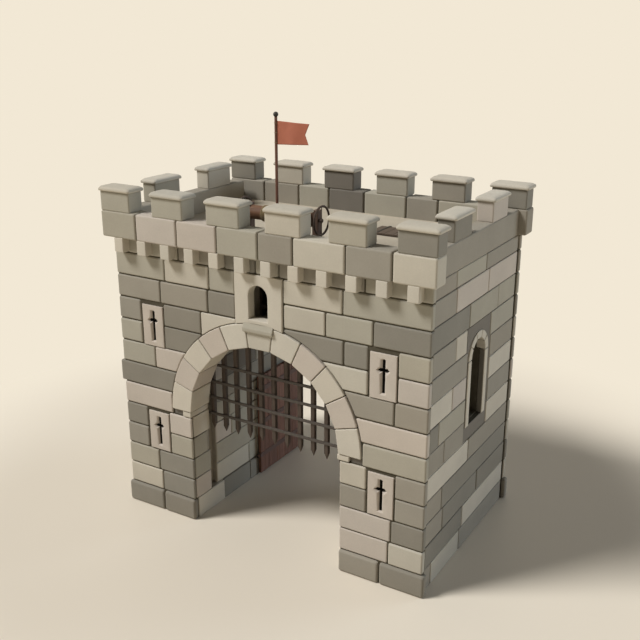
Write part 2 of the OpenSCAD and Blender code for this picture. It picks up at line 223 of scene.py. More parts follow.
def mortar_material():
    """Dark mortar in the joints, and pale plaster on the faces that close the rooms inside."""
    m, t, b = material("mortar")
    v = coords(t)
    c = mix(t, "MIX", ramp(t, noise(t, 9, 5, 0.6, v), 0.3, 0.7), (0.072, 0.062, 0.043), (0.100, 0.087, 0.062))
    sep = t.nodes.new("ShaderNodeSeparateXYZ")
    link(t, v, sep.inputs[0])

    def inside(axis, limit):
        ab = t.nodes.new("ShaderNodeMath")
        ab.operation = "ABSOLUTE"
        link(t, sep.outputs[axis], ab.inputs[0])
        lt = t.nodes.new("ShaderNodeMath")
        lt.operation = "LESS_THAN"
        link(t, ab.outputs[0], lt.inputs[0])
        lt.inputs[1].default_value = limit
        return lt.outputs[0]
    both = t.nodes.new("ShaderNodeMath")
    both.operation = "MULTIPLY"
    link(t, inside(0, 2.605), both.inputs[0])
    link(t, inside(1, 1.70), both.inputs[1])
    c2 = mix(t, "MIX", ramp(t, noise(t, 5, 5, 0.6, v), 0.3, 0.7), (0.27, 0.24, 0.19), (0.34, 0.30, 0.24))
    c = mix(t, "MIX", both.outputs[0], c, c2)
    link(t, c, b.inputs["Base Color"])
    b.inputs["Roughness"].default_value = 0.95
    b.inputs["Specular IOR Level"].default_value = 0.1
    bump(t, b, noise(t, 45, 5, 0.7, v), 0.4, 0.005)
    return m


def rope_material():
    m, t, b = material("hemp_rope")
    v = coords(t, (1, 1, 1))
    c = mix(t, "MIX", ramp(t, noise(t, 60, 4, 0.6, v), 0.3, 0.7), (0.185, 0.128, 0.055), (0.27, 0.195, 0.09))
    link(t, c, b.inputs["Base Color"])
    b.inputs["Roughness"].default_value = 0.9
    b.inputs["Sheen Weight"].default_value = 0.2
    bump(t, b, noise(t, 160, 3, 0.6, v), 0.3, 0.002)
    return m


def cloth_material():
    m, t, b = material("flag_cloth")
    v = coords(t)
    w1 = t.nodes.new("ShaderNodeTexWave")
    w1.bands_direction = "X"
    w1.inputs["Scale"].default_value = 95
    link(t, v, w1.inputs["Vector"])
    w2 = t.nodes.new("ShaderNodeTexWave")
    w2.bands_direction = "Z"
    w2.inputs["Scale"].default_value = 95
    link(t, v, w2.inputs["Vector"])
    add = t.nodes.new("ShaderNodeMath")
    add.operation = "ADD"
    link(t, w1.outputs["Fac"], add.inputs[0])
    link(t, w2.outputs["Fac"], add.inputs[1])
    c = mix(t, "MIX", ramp(t, noise(t, 7, 3, 0.5, v), 0.3, 0.7), (0.40, 0.125, 0.068), (0.36, 0.108, 0.058))
    link(t, c, b.inputs["Base Color"])
    b.inputs["Roughness"].default_value = 0.85
    b.inputs["Sheen Weight"].default_value = 0.15
    bump(t, b, add.outputs[0], 0.15, 0.001)
    return m


STONE = stone_material()
DECK_STONE = stone_material("deck_stone", (0.47, 0.415, 0.325))
INNER = stone_material("inner_plaster", (0.36, 0.325, 0.255))
MORTAR = mortar_material()
IRON = iron_material()
IRON_W = iron_material("wheel_iron", (0.036, 0.022, 0.014), 0.0, (0.75, 0.9))
IRON_B = iron_material("portcullis_iron", (0.060, 0.050, 0.042), 0.25, (0.5, 0.75))
IRON_G = iron_material("gate_iron", (0.074, 0.040, 0.030), 0.1, (0.6, 0.85))
LEAF_WOOD = wood_material("gate_oak", (0.104, 0.047, 0.029), (0.188, 0.084, 0.052))
BAR_WOOD = wood_material("bar_oak", (0.052, 0.037, 0.027), (0.086, 0.062, 0.046))
DRUM_WOOD = wood_material("drum_oak", (0.094, 0.043, 0.021), (0.150, 0.070, 0.034), along="X")
POST_WOOD = wood_material("post_oak", (0.068, 0.038, 0.025), (0.108, 0.064, 0.043), tone=False)
POLE_WOOD = wood_material("pole_oak", (0.110, 0.048, 0.030), (0.170, 0.078, 0.050), tone=False)
FLOOR_WOOD = wood_material("floor_oak", (0.11, 0.072, 0.048), (0.17, 0.115, 0.078), along="X")
HATCH_WOOD = wood_material("hatch_oak", (0.066, 0.047, 0.034), (0.104, 0.076, 0.055), along="Y")
FRAME_WOOD = wood_material("hatch_frame_oak", (0.07, 0.048, 0.034), (0.11, 0.078, 0.055), along="X", tone=False)
ROPE = rope_material()
CLOTH = cloth_material()

# ---------------------------------------------------------------- building many bevelled stones as one mesh


class Piece:
    """Collects small closed meshes, each with one tone, into one object."""

    def __init__(self, name, mat, body="gatehouse", slot="wall_stone", seed=1):
        self.name, self.mat, self.body, self.slot = name, mat, body, slot
        self.v, self.f, self.tone = [], [], []
        self.rng = random.Random(seed)

    def take(self, bm, tone, shade=None):
        """shade, where it is given, turns a face and the tone into that face's tone; it paints shade or light onto
        some faces.
        """
        base = len(self.v)
        bm.verts.index_update()
        self.v += [tuple(p.co) for p in bm.verts]
        for f in bm.faces:
            self.f.append([base + p.index for p in f.verts])
            self.tone.append(shade(f, tone) if shade else tone)
        bm.free()

    def make(self, replaces=(), crease=50):
        me = bpy.data.meshes.new(self.name)
        me.from_pydata(self.v, [], self.f)
        me.update()
        at = me.attributes.new("tone", "FLOAT_COLOR", "CORNER")
        cols = []
        for poly, tone in zip(me.polygons, self.tone):
            cols += [(*tone, 1.0)] * poly.loop_total
        at.data.foreach_set("color", np.array(cols, np.float32).ravel())
        soft_normals(me, crease)
        ob = bpy.data.objects.new(self.name, me)
        bpy.context.scene.collection.objects.link(ob)
        me.materials.append(self.mat)
        if self.body:
            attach(ob, self.body)
        if replaces:
            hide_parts(*replaces)
        return ob


def soft_normals(me, crease=50):
    """Smooth over the bevels and flat on the faces: corner normals weighted by face area, not across sharp edges."""
    nf, nl = len(me.polygons), len(me.loops)
    fn = np.zeros(nf * 3); me.polygons.foreach_get("normal", fn); fn = fn.reshape(-1, 3)
    fa = np.zeros(nf); me.polygons.foreach_get("area", fa)
    ls = np.zeros(nf, int); me.polygons.foreach_get("loop_start", ls)
    lt = np.zeros(nf, int); me.polygons.foreach_get("loop_total", lt)
    lv = np.zeros(nl, int); me.loops.foreach_get("vertex_index", lv)
    lf = np.repeat(np.arange(nf), lt)
    order = np.argsort(lv, kind="stable")
    starts = np.searchsorted(lv[order], np.arange(len(me.vertices) + 1))
    w = fn * fa[:, None]
    out = fn[lf].copy()
    cs = math.cos(math.radians(crease))
    sizes = np.diff(starts)
    for k in np.unique(sizes):
        if k < 2:
            continue
        vs = np.nonzero(sizes == k)[0]
        loops = order[starts[vs][:, None] + np.arange(k)]
        faces = lf[loops]
        n = fn[faces]
        near = np.einsum("vic,vjc->vij", n, n) > cs
        s = np.einsum("vij,vjc->vic", near.astype(float), w[faces])
        ln = np.linalg.norm(s, axis=2, keepdims=True)
        out[loops] = np.where(ln > 1e-12, s / np.maximum(ln, 1e-12), n)
    me.polygons.foreach_set("use_smooth", np.ones(nf, bool))
    me.normals_split_custom_set(out.tolist())


def bevel(bm, width, seg, skip=None, angle=25):
    edges = []
    for e in bm.edges:
        if len(e.link_faces) == 2 and e.calc_face_angle(0) > math.radians(angle) and not (skip and skip(e)):
            edges.append(e)
    if edges and width > 0:
        bmesh.ops.bevel(bm, geom=edges, offset=width, offset_type="OFFSET", segments=seg, profile=0.5, affect="EDGES", clamp_overlap=True)


def prism(poly, d0, d1, width=0.018, seg=2, back=False, holes=()):
    """A solid of outline poly in (a, b), from depth d0 to d1, with its edges rounded."""
    bm = bmesh.new()
    fr = [bm.verts.new((a, d0, b)) for a, b in poly]
    bk = [bm.verts.new((a, d1, b)) for a, b in poly]
    bm.faces.new(fr)
    bm.faces.new(bk[::-1])
    n = len(poly)
    for i in range(n):
        j = (i + 1) % n
        bm.faces.new((fr[j], fr[i], bk[i], bk[j]))
    bmesh.ops.recalc_face_normals(bm, faces=bm.faces)
    skip = None if back else (lambda e: all(abs(p.co.y - d1) < 1e-6 for p in e.verts))
    bevel(bm, width, seg, skip)
    return bm


def put(bm, place, proud=0.0, tilt=None):
    """Moves a solid from wall coordinates (a, depth, b) to the row frame."""
    co = [p.co for p in bm.verts]
    if tilt is not None:
        c = sum((p for p in co), Vector()) / len(co)
        r = Matrix.Rotation(tilt[0], 3, "X") @ Matrix.Rotation(tilt[1], 3, "Z") @ Matrix.Rotation(tilt[2], 3, "Y")
        for p in bm.verts:
            p.co = r @ (p.co - c) + c
    for p in bm.verts:
        a, d, b = p.co
        p.co = place(a, d - proud, b)
    return bm


def vary(rng, tone, amount=0.035):
    k = 1 + rng.uniform(-amount, amount)
    w = rng.uniform(-0.012, 0.012)
    r, g, b = tone
    return (r * k * (1 + w), g * k, b * k * (1 - w))


PLACES = {
    "front": lambda a, d, b: (a, -HD + d, b),
    "rear": lambda a, d, b: (-a, HD - d, b),
    "right": lambda a, d, b: (SF - d, a, b),
    "left": lambda a, d, b: (-SF + d, -a, b),
    "hall_left": lambda a, d, b: (-HX - d, a, b),
    "hall_right": lambda a, d, b: (HX + d, -a, b),
}

GAP = 0.009     # half of a joint's width


def clip(a0, a1, b0, b1, radius, spring=SPRING):
    """The part of a block outside the arch's outer circle, for a block on the side a > 0."""
    def f(b):
        if b < spring:
            return radius
        return math.sqrt(max(0.0, radius ** 2 - (b - spring) ** 2))
    if f(b0) <= a0:
        return [(a0, b0), (a1, b0), (a1, b1), (a0, b1)]
    if b0 < spring and f(b0) >= a1 and b1 < spring:
        return None
    bs = b0
    if f(b0) > a1:                       # the arc leaves through the outer side
        bs = spring + math.sqrt(radius ** 2 - a1 ** 2)
        if bs > b1 - 0.03:
            return None
    be = b1
    kink = None
    if a0 > 0 and f(b1) < a0:            # the arc leaves through the inner side
        kink = spring + math.sqrt(radius ** 2 - a0 ** 2)
        be = kink
    pts = [] if f(b0) > a1 else [(a1, b0)]
    if f(b0) > a1:
        pts = [(a1, bs)]
    pts += [(a1, b1)]
    pts += [(a0 if kink else max(a0, f(b1)), b1)]
    t0 = math.atan2(be - spring, f(be)) if be > spring else 0
    t1 = math.atan2(bs - spring, f(bs)) if bs > spring else 0
    n = max(2, int(abs(t1 - t0) / math.radians(4)))
    arc = []
    for i in range(n + 1):
        t = t0 + (t1 - t0) * i / n
        arc.append((radius * math.cos(t), spring + radius * math.sin(t)))
    if not kink:
        arc = arc[1:]
    if bs == b0 and b0 < spring:
        arc.append((radius, b0))
    elif bs > b0:
        arc = arc[:-1]
    pts += arc
    out = []
    for p in pts:
        if not out or abs(p[0] - out[-1][0]) + abs(p[1] - out[-1][1]) > 0.004:
            out.append(p)
    return out


def stone(piece, place, a0, a1, b0, b1, tone, depth=0.12, d0=0.0, arch=None, proud=None, back=False, width=0.018, edge=(1, 1, 1, 1)):
    """One stone. edge says which of its sides (left, right, bottom, top) meet a neighbour over a joint."""
    rng = piece.rng
    g = GAP
    a0, a1, b0, b1 = a0 + g * edge[0], a1 - g * edge[1], b0 + g * edge[2], b1 - g * edge[3]
    poly = [(a0, b0), (a1, b0), (a1, b1), (a0, b1)]
    if arch:
        if a0 >= 0:
            poly = clip(a0, a1, b0, b1, arch)
        else:
            poly = clip(-a1, -a0, b0, b1, arch)
            poly = poly and [(-a, b) for a, b in poly][::-1]
        if not poly or len(poly) < 3:
            return
    bm = prism(poly, d0, depth, width, 2, back)
    put(bm, PLACES[place], rng.uniform(0.0, 0.010) if proud is None else proud,
        (rng.uniform(-0.004, 0.004), rng.uniform(-0.003, 0.003), rng.uniform(-0.0015, 0.0015)))
    piece.take(bm, vary(rng, TONES[tone]))


def zc(n):
    """Top of course n."""
    return n * CH


# ---------------------------------------------------------------- front and rear walls
JAMBS = {1: [(0.10, 0.885, "C")], 2: [(0.055, 0.500, "P")], 3: [(0.055, 0.508, "M")], 4: [(0.055, 0.425, "M"), (0.425, 0.508, "D")],
         5: [(0.055, 0.508, "C")]}          # the jamb stones behind the front slabs: from and to depth, and tone
FRONT = {
    1: [(-3.045, -2.21, "D"), (-2.21, -1.5, "D"), (1.5, 2.245, "G"), (2.245, 3.045, "D")],
    2: [(-3.0, -2.23, "L"), (-2.23, -1.5, "D"), (1.5, 2.39, "P"), (2.39, 3.0, "L")],
    3: [(-3.0, -2.29, "M"), (-2.29, -1.5, "D"), (1.5, 2.43, "P"), (2.43, 3.0, "D")],
    4: [(-3.0, -2.5, "G"), (-2.0, -1.5, "M"), (1.5, 1.985, "G"), (2.48, 3.0, "G")],
    5: [(-3.0, -2.5, "D"), (-2.0, -1.5, "P"), (1.5, 1.985, "L"), (2.48, 3.0, "G")],
    6: [(-3.0, -1.9, "P"), (1.9, 3.0, "M")],
    7: [(-3.07, -1.7, "D"), (1.7, 3.0, "P")],
    8: [(-3.0, -2.235, "M"), (-2.235, -1.5, "P"), (1.5, 2.44, "G"), (2.44, 3.0, "G")],
    9: [(-3.0, -2.5, "M"), (-2.0, -1.2, "D"), (1.1, 1.985, "L"), (2.48, 3.0, "P")],
    10: [(-3.0, -2.5, "G"), (-2.0, -1.185, "D"), (-1.185, -0.46, "C"), (0.46, 1.555, "D"), (1.555, 1.985, "D"), (2.48, 3.0, "M")],
    11: [(-3.0, -2.045, "G"), (-2.045, -1.03, "G"), (-1.03, -0.46, "D"), (0.46, 1.23, "L"), (1.23, 2.055, "M"), (2.055, 3.0, "D")],
    12: [(-3.0, -1.925, "M"), (-1.925, -0.99, "L"), (-0.99, -0.46, "M"), (0.46, 1.53, "L"), (1.53, 3.0, "M")],
    13: [(-3.0, -2.708, "M"), (-2.708, -1.62, "M"), (-1.62, -0.659, "G"), (-0.659, -0.057, "D"), (-0.057, 0.383, "M"), (0.383, 1.9, "G"), (1.9, 3.0, "M")],
}


def wall(name, place, rows, replaces, jamb_x, arch, seed):
    p = Piece(name, STONE, seed=seed)
    for n, row in rows.items():
        b0, b1 = zc(n - 1), (zc(n) if n < 13 else LEDGE)
        for a0, a1, tone in row:
            inner = abs(min(abs(a0), abs(a1)) - JX) < 1e-6 and n <= 5
            ra = arch + 0.006 if n >= 6 else None
            depth, d0, bb1, x0, x1 = 0.12, 0.0, b1, a0, a1
            if inner:
                depth = JAMBS[n][0][0] if place == "front" else 0.49
                if place == "front":
                    for j0, j1, jt in JAMBS[n]:
                        inset = 0.022 if j0 > 0.3 else 0.0
                        q0, q1 = sorted(((jamb_x + inset) * (1 if a0 > 0 else -1), (jamb_x + 0.13) * (1 if a0 > 0 else -1)))
                        stone(p, place, q0, q1, b0, b1, jt, j1 - 0.004, j0 + GAP * 1.1, width=0.014, back=True, proud=0.0,
                              edge=(0, 0, 0 if n == 1 else 0.9, 0.9))
                if a0 > 0:
                    x0 = jamb_x
                else:
                    x1 = -jamb_x
            if n == 1:
                d0 = -0.032 if place == "front" else -0.045
            if n == 5 and inner:             # the block under the impost keeps the top of its course
                bb1 = b1
            stone(p, place, x0, x1, b0, bb1, tone, depth, d0, ra if 6 <= n < 12 else None,
                  width=0.044 if n == 1 else 0.030, back=True,
                  edge=(0 if (inner and a0 > 0) or x0 < -2.9 else 1, 0 if (inner and a0 < 0) or x1 > 2.9 else 1, 0 if n == 1 else 1, 1))
    return p


front = wall("front_stones", "front", FRONT, (), JX, RO, 11)
# stones beside the slit plates that fill the wall between a plate and the jamb are full height already
front.make()

REAR = {
    1: [(-3.045, -2.3, "G"), (-2.3, -1.5, "D"), (1.5, 2.15, "D"), (2.15, 3.045, "G")],
    2: [(-3.0, -2.4, "L"), (-2.4, -1.5, "G"), (1.5, 2.3, "M"), (2.3, 3.0, "P")],
    3: [(-3.0, -2.1, "D"), (-2.1, -1.5, "P"), (1.5, 2.4, "D"), (2.4, 3.0, "M")],
    4: [(-3.0, -2.5, "L"), (-2.0, -1.5, "D"), (1.5, 1.985, "M"), (2.48, 3.0, "D")],
    5: [(-3.0, -2.5, "M"), (-2.0, -1.5, "M"), (1.5, 1.985, "P"), (2.48, 3.0, "L")],
    6: [(-3.0, -1.9, "D"), (1.9, 3.0, "P")],
    7: [(-3.0, -2.4, "P"), (-2.4, -1.7, "M"), (1.7, 3.0, "G")],
    8: [(-3.0, -2.2, "G"), (-2.2, -1.5, "L"), (1.5, 2.5, "M"), (2.5, 3.0, "D")],
    9: [(-3.0, -2.5, "L"), (-2.0, -1.2, "M"), (1.1, 1.985, "D"), (2.48, 3.0, "M")],
    10: [(-3.0, -2.5, "D"), (-2.0, -1.3, "P"), (-1.3, -0.3, "G"), (-0.3, 0.55, "M"), (0.55, 1.3, "P"), (1.3, 1.985, "G"), (2.48, 3.0, "P")],
    11: [(-3.0, -2.2, "M"), (-2.2, -1.2, "D"), (-1.2, 0.0, "P"), (0.0, 0.9, "G"), (0.9, 2.1, "M"), (2.1, 3.0, "D")],
    12: [(-3.0, -1.8, "G"), (-1.8, -0.8, "M"), (-0.8, 0.3, "D"), (0.3, 1.5, "L"), (1.5, 2.4, "G"), (2.4, 3.0, "M")],
    13: [(-3.0, -1.4, "G"), (-1.4, 0.2, "M"), (0.2, 1.9, "M"), (1.9, 3.0, "G")],
}
rear = wall("rear_stones", "rear", REAR, (), HX, RO + 0.04, 12)
rear.make()

# ---------------------------------------------------------------- side walls
WIN_A, WIN_Z0, WIN_S, WIN_Y = 0.290, 2.325, 3.465, 0.115     # half width, bottom, springing and middle of the side windows
SIDE_R = {      # a is along Y, from the front to the rear, with the middle at 0
    1: [(-1.72, -1.46, "G"), (-1.46, -0.31, "L"), (-0.31, 1.72, "G")],
    2: [(-1.72, -0.21, "D"), (-0.21, 1.72, "C")],
    3: [(-1.72, -1.07, "G"), (-1.07, 0.39, "D"), (0.39, 1.72, "D")],
    4: [(-1.72, -1.14, "G"), (-1.14, 1.72, "D")],
    5: [(-1.72, -0.09, "C"), (-0.09, 1.72, "G")],
    6: [(-1.72, -1.13, "G"), (-1.13, -0.345, "G"), (0.645, 1.72, "C")],
    7: [(-1.72, -1.38, "D"), (-1.38, -0.345, "M"), (0.645, 1.72, "G")],
    8: [(-1.72, -0.89, "C"), (-0.89, -0.345, "P"), (0.645, 1.72, "C")],
    9: [(-1.72, -0.345, "G"), (0.645, 1.72, "G")],
    10: [(-1.72, -0.83, "G"), (-0.83, -0.39, "C"), (0.62, 1.72, "M")],
    11: [(-1.72, -0.337, "D"), (-0.337, 0.91, "M"), (0.91, 1.72, "M")],
    12: [(-1.72, -0.909, "G"), (-0.909, 0.411, "P"), (0.411, 1.72, "P")],
    13: [(-1.72, -0.936, "G"), (-0.936, 0.254, "M"), (0.254, 1.72, "G")],
}


def side(name, place, seed, flip):
    p = Piece(name, STONE, seed=seed)
    for n, row in SIDE_R.items():
        b0, b1 = zc(n - 1), (zc(n) if n < 13 else LEDGE)
        for a0, a1, tone in row:
            if flip:
                a0, a1 = -a1, -a0
            e = [0.8, 0.8, 0 if n == 1 else 0.8, 0.8]
            stone(p, place, a0, a1, b0, b1, tone, 0.10, edge=e, width=0.016, proud=p.rng.uniform(0, 0.006))
    return p


side("right_stones", "right", 21, False).make()
side("left_stones", "left", 22, True).make()

# ---------------------------------------------------------------- passage walls
HALL = {
    1: [(-0.97, -0.12, "D"), (-0.12, 0.235, "D"), (0.235, 1.363, "G")],
    2: [(-1.138, -0.12, "L"), (-0.12, 0.235, "M"), (0.235, 0.9, "G"), (0.9, 1.363, "G")],
    3: [(-1.138, 0.18, "M"), (0.18, 0.235, "M"), (0.235, 1.363, "M")],
    4: [(-1.138, -0.65, "P"), (-0.65, 0.235, "M"), (0.235, 0.7, "D"), (0.7, 1.363, "G")],
    5: [(-1.138, -0.7, "M"), (-0.7, 0.235, "M"), (0.235, 1.363, "M")],
    6: [(-1.138, -0.4, "G"), (-0.4, 0.4, "D"), (0.4, 1.363, "D")],
    7: [(-1.138, -0.8, "P"), (-0.8, 0.2, "W"), (0.2, 0.9, "M"), (0.9, 1.363, "G")],
    8: [(-1.138, -0.2, "M"), (-0.2, 0.6, "P"), (0.6, 1.363, "M")],
    9: [(-1.138, -0.6, "P"), (-0.6, 0.3, "M"), (0.3, 1.363, "L")],
}


def hall(name, place, seed, flip):
    p = Piece(name, STONE, seed=seed)
    for n, row in HALL.items():
        b0, b1 = zc(n - 1), min(zc(n), 3.70)
        for a0, a1, tone in row:
            d0 = -0.022 if n == 1 else 0.0
            if flip:
                a0, a1 = -a1, -a0
            stone(p, place, a0, a1, b0, b1, tone, 0.06, d0, edge=(1, 1, 0 if n == 1 else 1, 1), width=0.014, proud=0.0)
    return p


hall("passage_stones_left", "hall_left", 31, False).make()
hall("passage_stones_right", "hall_right", 32, True).make()

# ---------------------------------------------------------------- arch stones, imposts


def arch(name, place, ri, ro, node, seed, tones):
    p = Piece(name, STONE, slot="pale_stone", seed=seed)
    n = 11
    for k in range(n):
        g = 0.0035
        a0, a1 = math.pi * k / n, math.pi * (k + 1) / n
        i0, i1 = a0 + g / ri * 2, a1 - g / ri * 2
        o0, o1 = a0 + g / ro * 2, a1 - g / ro * 2
        m = (o0 + o1) / 2
        poly = [(ri * math.cos(i0), SPRING + ri * math.sin(i0)), (ro * math.cos(o0), SPRING + ro * math.sin(o0))]
        for s in (0.25, 0.5, 0.75):
            t = o0 + (o1 - o0) * s
            poly.append((ro * math.cos(t), SPRING + ro * math.sin(t)))
        poly += [(ro * math.cos(o1), SPRING + ro * math.sin(o1)), (ri * math.cos(i1), SPRING + ri * math.sin(i1))]
        bm = prism(poly, -0.030, 0.50, 0.016, 2, True)
        put(bm, PLACES[place], p.rng.uniform(-0.004, 0.0))
        p.take(bm, vary(p.rng, TONES[tones[k]], 0.02))
    return p.make(replaces=(node,))


arch("arch_stones_front", "front", RI, RO - 0.006, "front_arch_ring", 41, "CPCPCLCPCPC")
arch("arch_stones_rear", "rear", RI + 0.04, RO + 0.034, "rear_arch_ring", 42, "LPLPLLPLPLL")

imp = Piece("impost_stones", STONE, slot="pale_stone", seed=43)
for place, jx in (("front", JX), ("rear", HX)):
    for s in (-1, 1):
        x0, x1 = sorted((s * (jx - 0.042 if s > 0 and place == "front" else jx), s * (jx + 0.175)))
        bm = prism([(x0, zc(5) + 0.008), (x1, zc(5) + 0.008), (x1, SPRING - 0.003), (x0, SPRING - 0.003)], -0.012, 0.49, 0.014, 2, True)
        put(bm, PLACES[place])
        imp.take(bm, vary(imp.rng, TONES["C"]))
        x0, x1 = sorted((s * (jx + 0.19), s * (jx + 0.40)))
        bm = prism([(x0, zc(5) + 0.002), (x1, zc(5) + 0.002), (x1, SPRING + 0.01), (x0, SPRING + 0.01)], 0.035, 0.30, 0.006, 2, True)
        put(bm, PLACES[place])
        imp.take(bm, vary(imp.rng, TONES["W"]))
imp.make(replaces=("arch_imposts",))

# ---------------------------------------------------------------- slit plates: dressed stones with a cross cut through


def slit_painted_shade(f, tone):
    """Painted shade: the faces deep inside the slits get a near-black tone that stands in for the shade there."""
    return (0.030, 0.026, 0.020) if f.material_index else tone


def plate_mesh(cx, cz, w, h, d0, d1):
    """A rectangular plate w x h with a cross-shaped slit, whose mouth is splayed."""
    up = 0.098                                # the arms' height above the middle
    top, bot = 0.290, -0.290
    core = [(-0.023, bot + 0.02), (0.023, bot + 0.02), (0.023, up - 0.026), (0.055, up - 0.030), (0.098, up), (0.055, up + 0.030),
            (0.023, up + 0.026), (0.023, top - 0.03), (0.0, top - 0.008), (-0.023, top - 0.03), (-0.023, up + 0.026), (-0.055, up + 0.030),
            (-0.098, up), (-0.055, up - 0.030), (-0.023, up - 0.026)]
    mouth = [(-0.056, bot - 0.004), (0.056, bot - 0.004), (0.056, up - 0.056), (0.070, up - 0.058), (0.122, up), (0.070, up + 0.058),
             (0.056, up + 0.056), (0.056, top - 0.012), (0.0, top + 0.010), (-0.056, top - 0.012), (-0.056, up + 0.056), (-0.070, up + 0.058),
             (-0.122, up), (-0.070, up - 0.058), (-0.056, up - 0.056)]
    r = 0.012
    x, z = w / 2, h / 2
    n = len(mouth)
    bm = bmesh.new()

    def loop(pts, d):
        return [bm.verts.new((cx + a, d, cz + b)) for a, b in pts]

    m0 = loop(mouth, d0)
    mid = loop([(0.5 * (a + c), 0.5 * (b + e)) for (a, b), (c, e) in zip(mouth, core)], d0 + 0.016)
    c1 = loop(core, d0 + 0.036)
    c2 = loop(core, d1)
    rect = [(-x + r, -z + r), (x - r, -z + r), (x - r, z - r), (-x + r, z - r)]
    f0 = loop(rect, d0)
    f1 = loop([(-x + r * 0.3, -z + r * 0.3), (x - r * 0.3, -z + r * 0.3), (x - r * 0.3, z - r * 0.3), (-x + r * 0.3, z - r * 0.3)], d0 + r * 0.3)
    f2 = loop([(-x, -z), (x, -z), (x, z), (-x, z)], d0 + r)
    f3 = loop([(-x, -z), (x, -z), (x, z), (-x, z)], d1)
    edges = []
    for lp in (m0, f0):
        edges += [bm.edges.new((lp[i], lp[(i + 1) % len(lp)])) for i in range(len(lp))]
    bmesh.ops.triangle_fill(bm, use_beauty=True, use_dissolve=False, edges=edges)
    edges = []
    for lp in (c2, f3):
        edges += [bm.edges.new((lp[i], lp[(i + 1) % len(lp)])) for i in range(len(lp))]
    bmesh.ops.triangle_fill(bm, use_beauty=True, use_dissolve=False, edges=edges)
    for a, b in ((m0, mid), (mid, c1), (c1, c2)):
        for i in range(n):
            j = (i + 1) % n
            # material_index 1 marks the slit's deep walls, which get painted shade
            bm.faces.new((a[i], a[j], b[j], b[i])).material_index = 1 if a is c1 else 0
    for a, b in ((f0, f1), (f1, f2), (f2, f3)):
        for i in range(4):
            j = (i + 1) % 4
            bm.faces.new((a[i], a[j], b[j], b[i]))
    bmesh.ops.recalc_face_normals(bm, faces=bm.faces)
    return bm


for name, place, node, seed in (("slit_stones_front", "front", "slit_plates_front", 51), ("slit_stones_rear", "rear", "slit_plates_rear", 52)):
    p = Piece(name, STONE, slot="pale_stone", seed=seed)
    for s in (-1, 1):
        for z in (1.605, 3.615):
            bm = plate_mesh(s * 2.24, z, 0.45, 0.74, -0.012, 0.098)
            put(bm, PLACES[place])
            p.take(bm, vary(p.rng, TONES["P"], 0.02), slit_painted_shade)
    p.make(replaces=(node,))

# ---------------------------------------------------------------- corbels, parapets, merlons, caps
for name, place, node, seed in (("corbel_stones_front", "front", "front_corbels", 61), ("corbel_stones_rear", "rear", "rear_corbels", 62)):
    p = Piece(name, STONE, slot="pale_stone", seed=seed)
    for k in range(12):
        c = (k - 5.5) * 0.502
        b0, b1 = 4.897, LEDGE
        bm = prism([(c - 0.0975, b0), (c + 0.0975, b0), (c + 0.0975, b1 + 0.01), (c - 0.0975, b1 + 0.01)], -0.168, 0.05, 0.018, 2, False)
        put(bm, PLACES[place], p.rng.uniform(-0.004, 0.0))
        p.take(bm, vary(p.rng, TONES["C"], 0.03))
    p.make(replaces=(node,))


def box_block(x0, x1, y0, y1, z0, z1, w=0.02, seg=2):
    bm = bmesh.new()
    bmesh.ops.create_cube(bm, size=1.0)
    for v in bm.verts:
        v.co = ((x0 + x1) / 2 + v.co.x * (x1 - x0), (y0 + y1) / 2 + v.co.y * (y1 - y0), (z0 + z1) / 2 + v.co.z * (z1 - z0))
    bevel(bm, w, seg)
    return bm


def parapet(name, node, lo, hi, joints, tones, seed):
    p = Piece(name, STONE, seed=seed)
    xs = [lo.x] + joints + [hi.x]
    for i, t in enumerate(tones):
        g0 = 0 if i == 0 else GAP
        g1 = 0 if i == len(tones) - 1 else GAP
        o = p.rng.uniform(-0.006, 0.0)
        bm = box_block(xs[i] + g0, xs[i + 1] - g1, lo.y - o * 0, hi.y + o, lo.z, hi.z + p.rng.uniform(-0.006, 0.0), 0.032)
        p.take(bm, vary(p.rng, TONES[t]))
    bm = box_block(lo.x + 0.03, hi.x - 0.03, lo.y + 0.03, hi.y - 0.03, lo.z + 0.02, hi.z - 0.03, 0.0)
    p.take(bm, (0.08, 0.068, 0.045))
    return p.make(replaces=(node,))


parapet("parapet_stones_front", "front_parapet", PAR[0], PAR[1], [-2.355, -1.49, -0.68, 0.11, 0.75, 1.655, 2.42], "MPPMGLGL", 71)
parapet("parapet_stones_rear", "rear_parapet", PAR_R[0], PAR_R[1], [-2.30, -1.49, -0.81, -0.044, 0.828, 1.457, 2.35], "GGMWMGMG", 72)
p = Piece("parapet_stones_sides", STONE, seed=73)
for s in (-1, 1):
    x0, x1 = sorted((s * SIDE_PAR[1].x, s * (SIDE_PAR[1].x - 0.30)))
    if s < 0:                                   # this one is notched at its rear end, inside
        tone = vary(p.rng, TONES["G"])
        # painted light: the inner face (+X) of this block is 1.4 times lighter than its tone, standing in for light
        # that reaches it
        p.take(box_block(x0, x1, SIDE_PAR[0].y, 1.530, SIDE_PAR[0].z, SIDE_PAR[1].z, 0.030), tone, lambda f, t: tuple(1.4 * c for c in t) if f.normal.x > 0.8 else t)
        p.take(box_block(x0, x0 + 0.13, 1.42, SIDE_PAR[1].y, SIDE_PAR[0].z, SIDE_PAR[1].z - 0.15, 0.020), tone)
        continue
    bm = box_block(x0, x1, SIDE_PAR[0].y, SIDE_PAR[1].y, SIDE_PAR[0].z, SIDE_PAR[1].z, 0.030)
    p.take(bm, vary(p.rng, TONES["G"]))
p.make(replaces=("side_parapets",))

MER_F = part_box("front_merlons")
MER_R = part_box("rear_merlons")
MER_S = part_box("side_merlons")
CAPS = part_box("merlon_caps")
MTOP = MER_F[1].z


def merlon_xs(k, m):
    c = (k - 2.5) * 1.12 + (-0.035 if m else 0.005)
    return max(c - 0.32, -3.11), min(c + 0.32, 3.11)


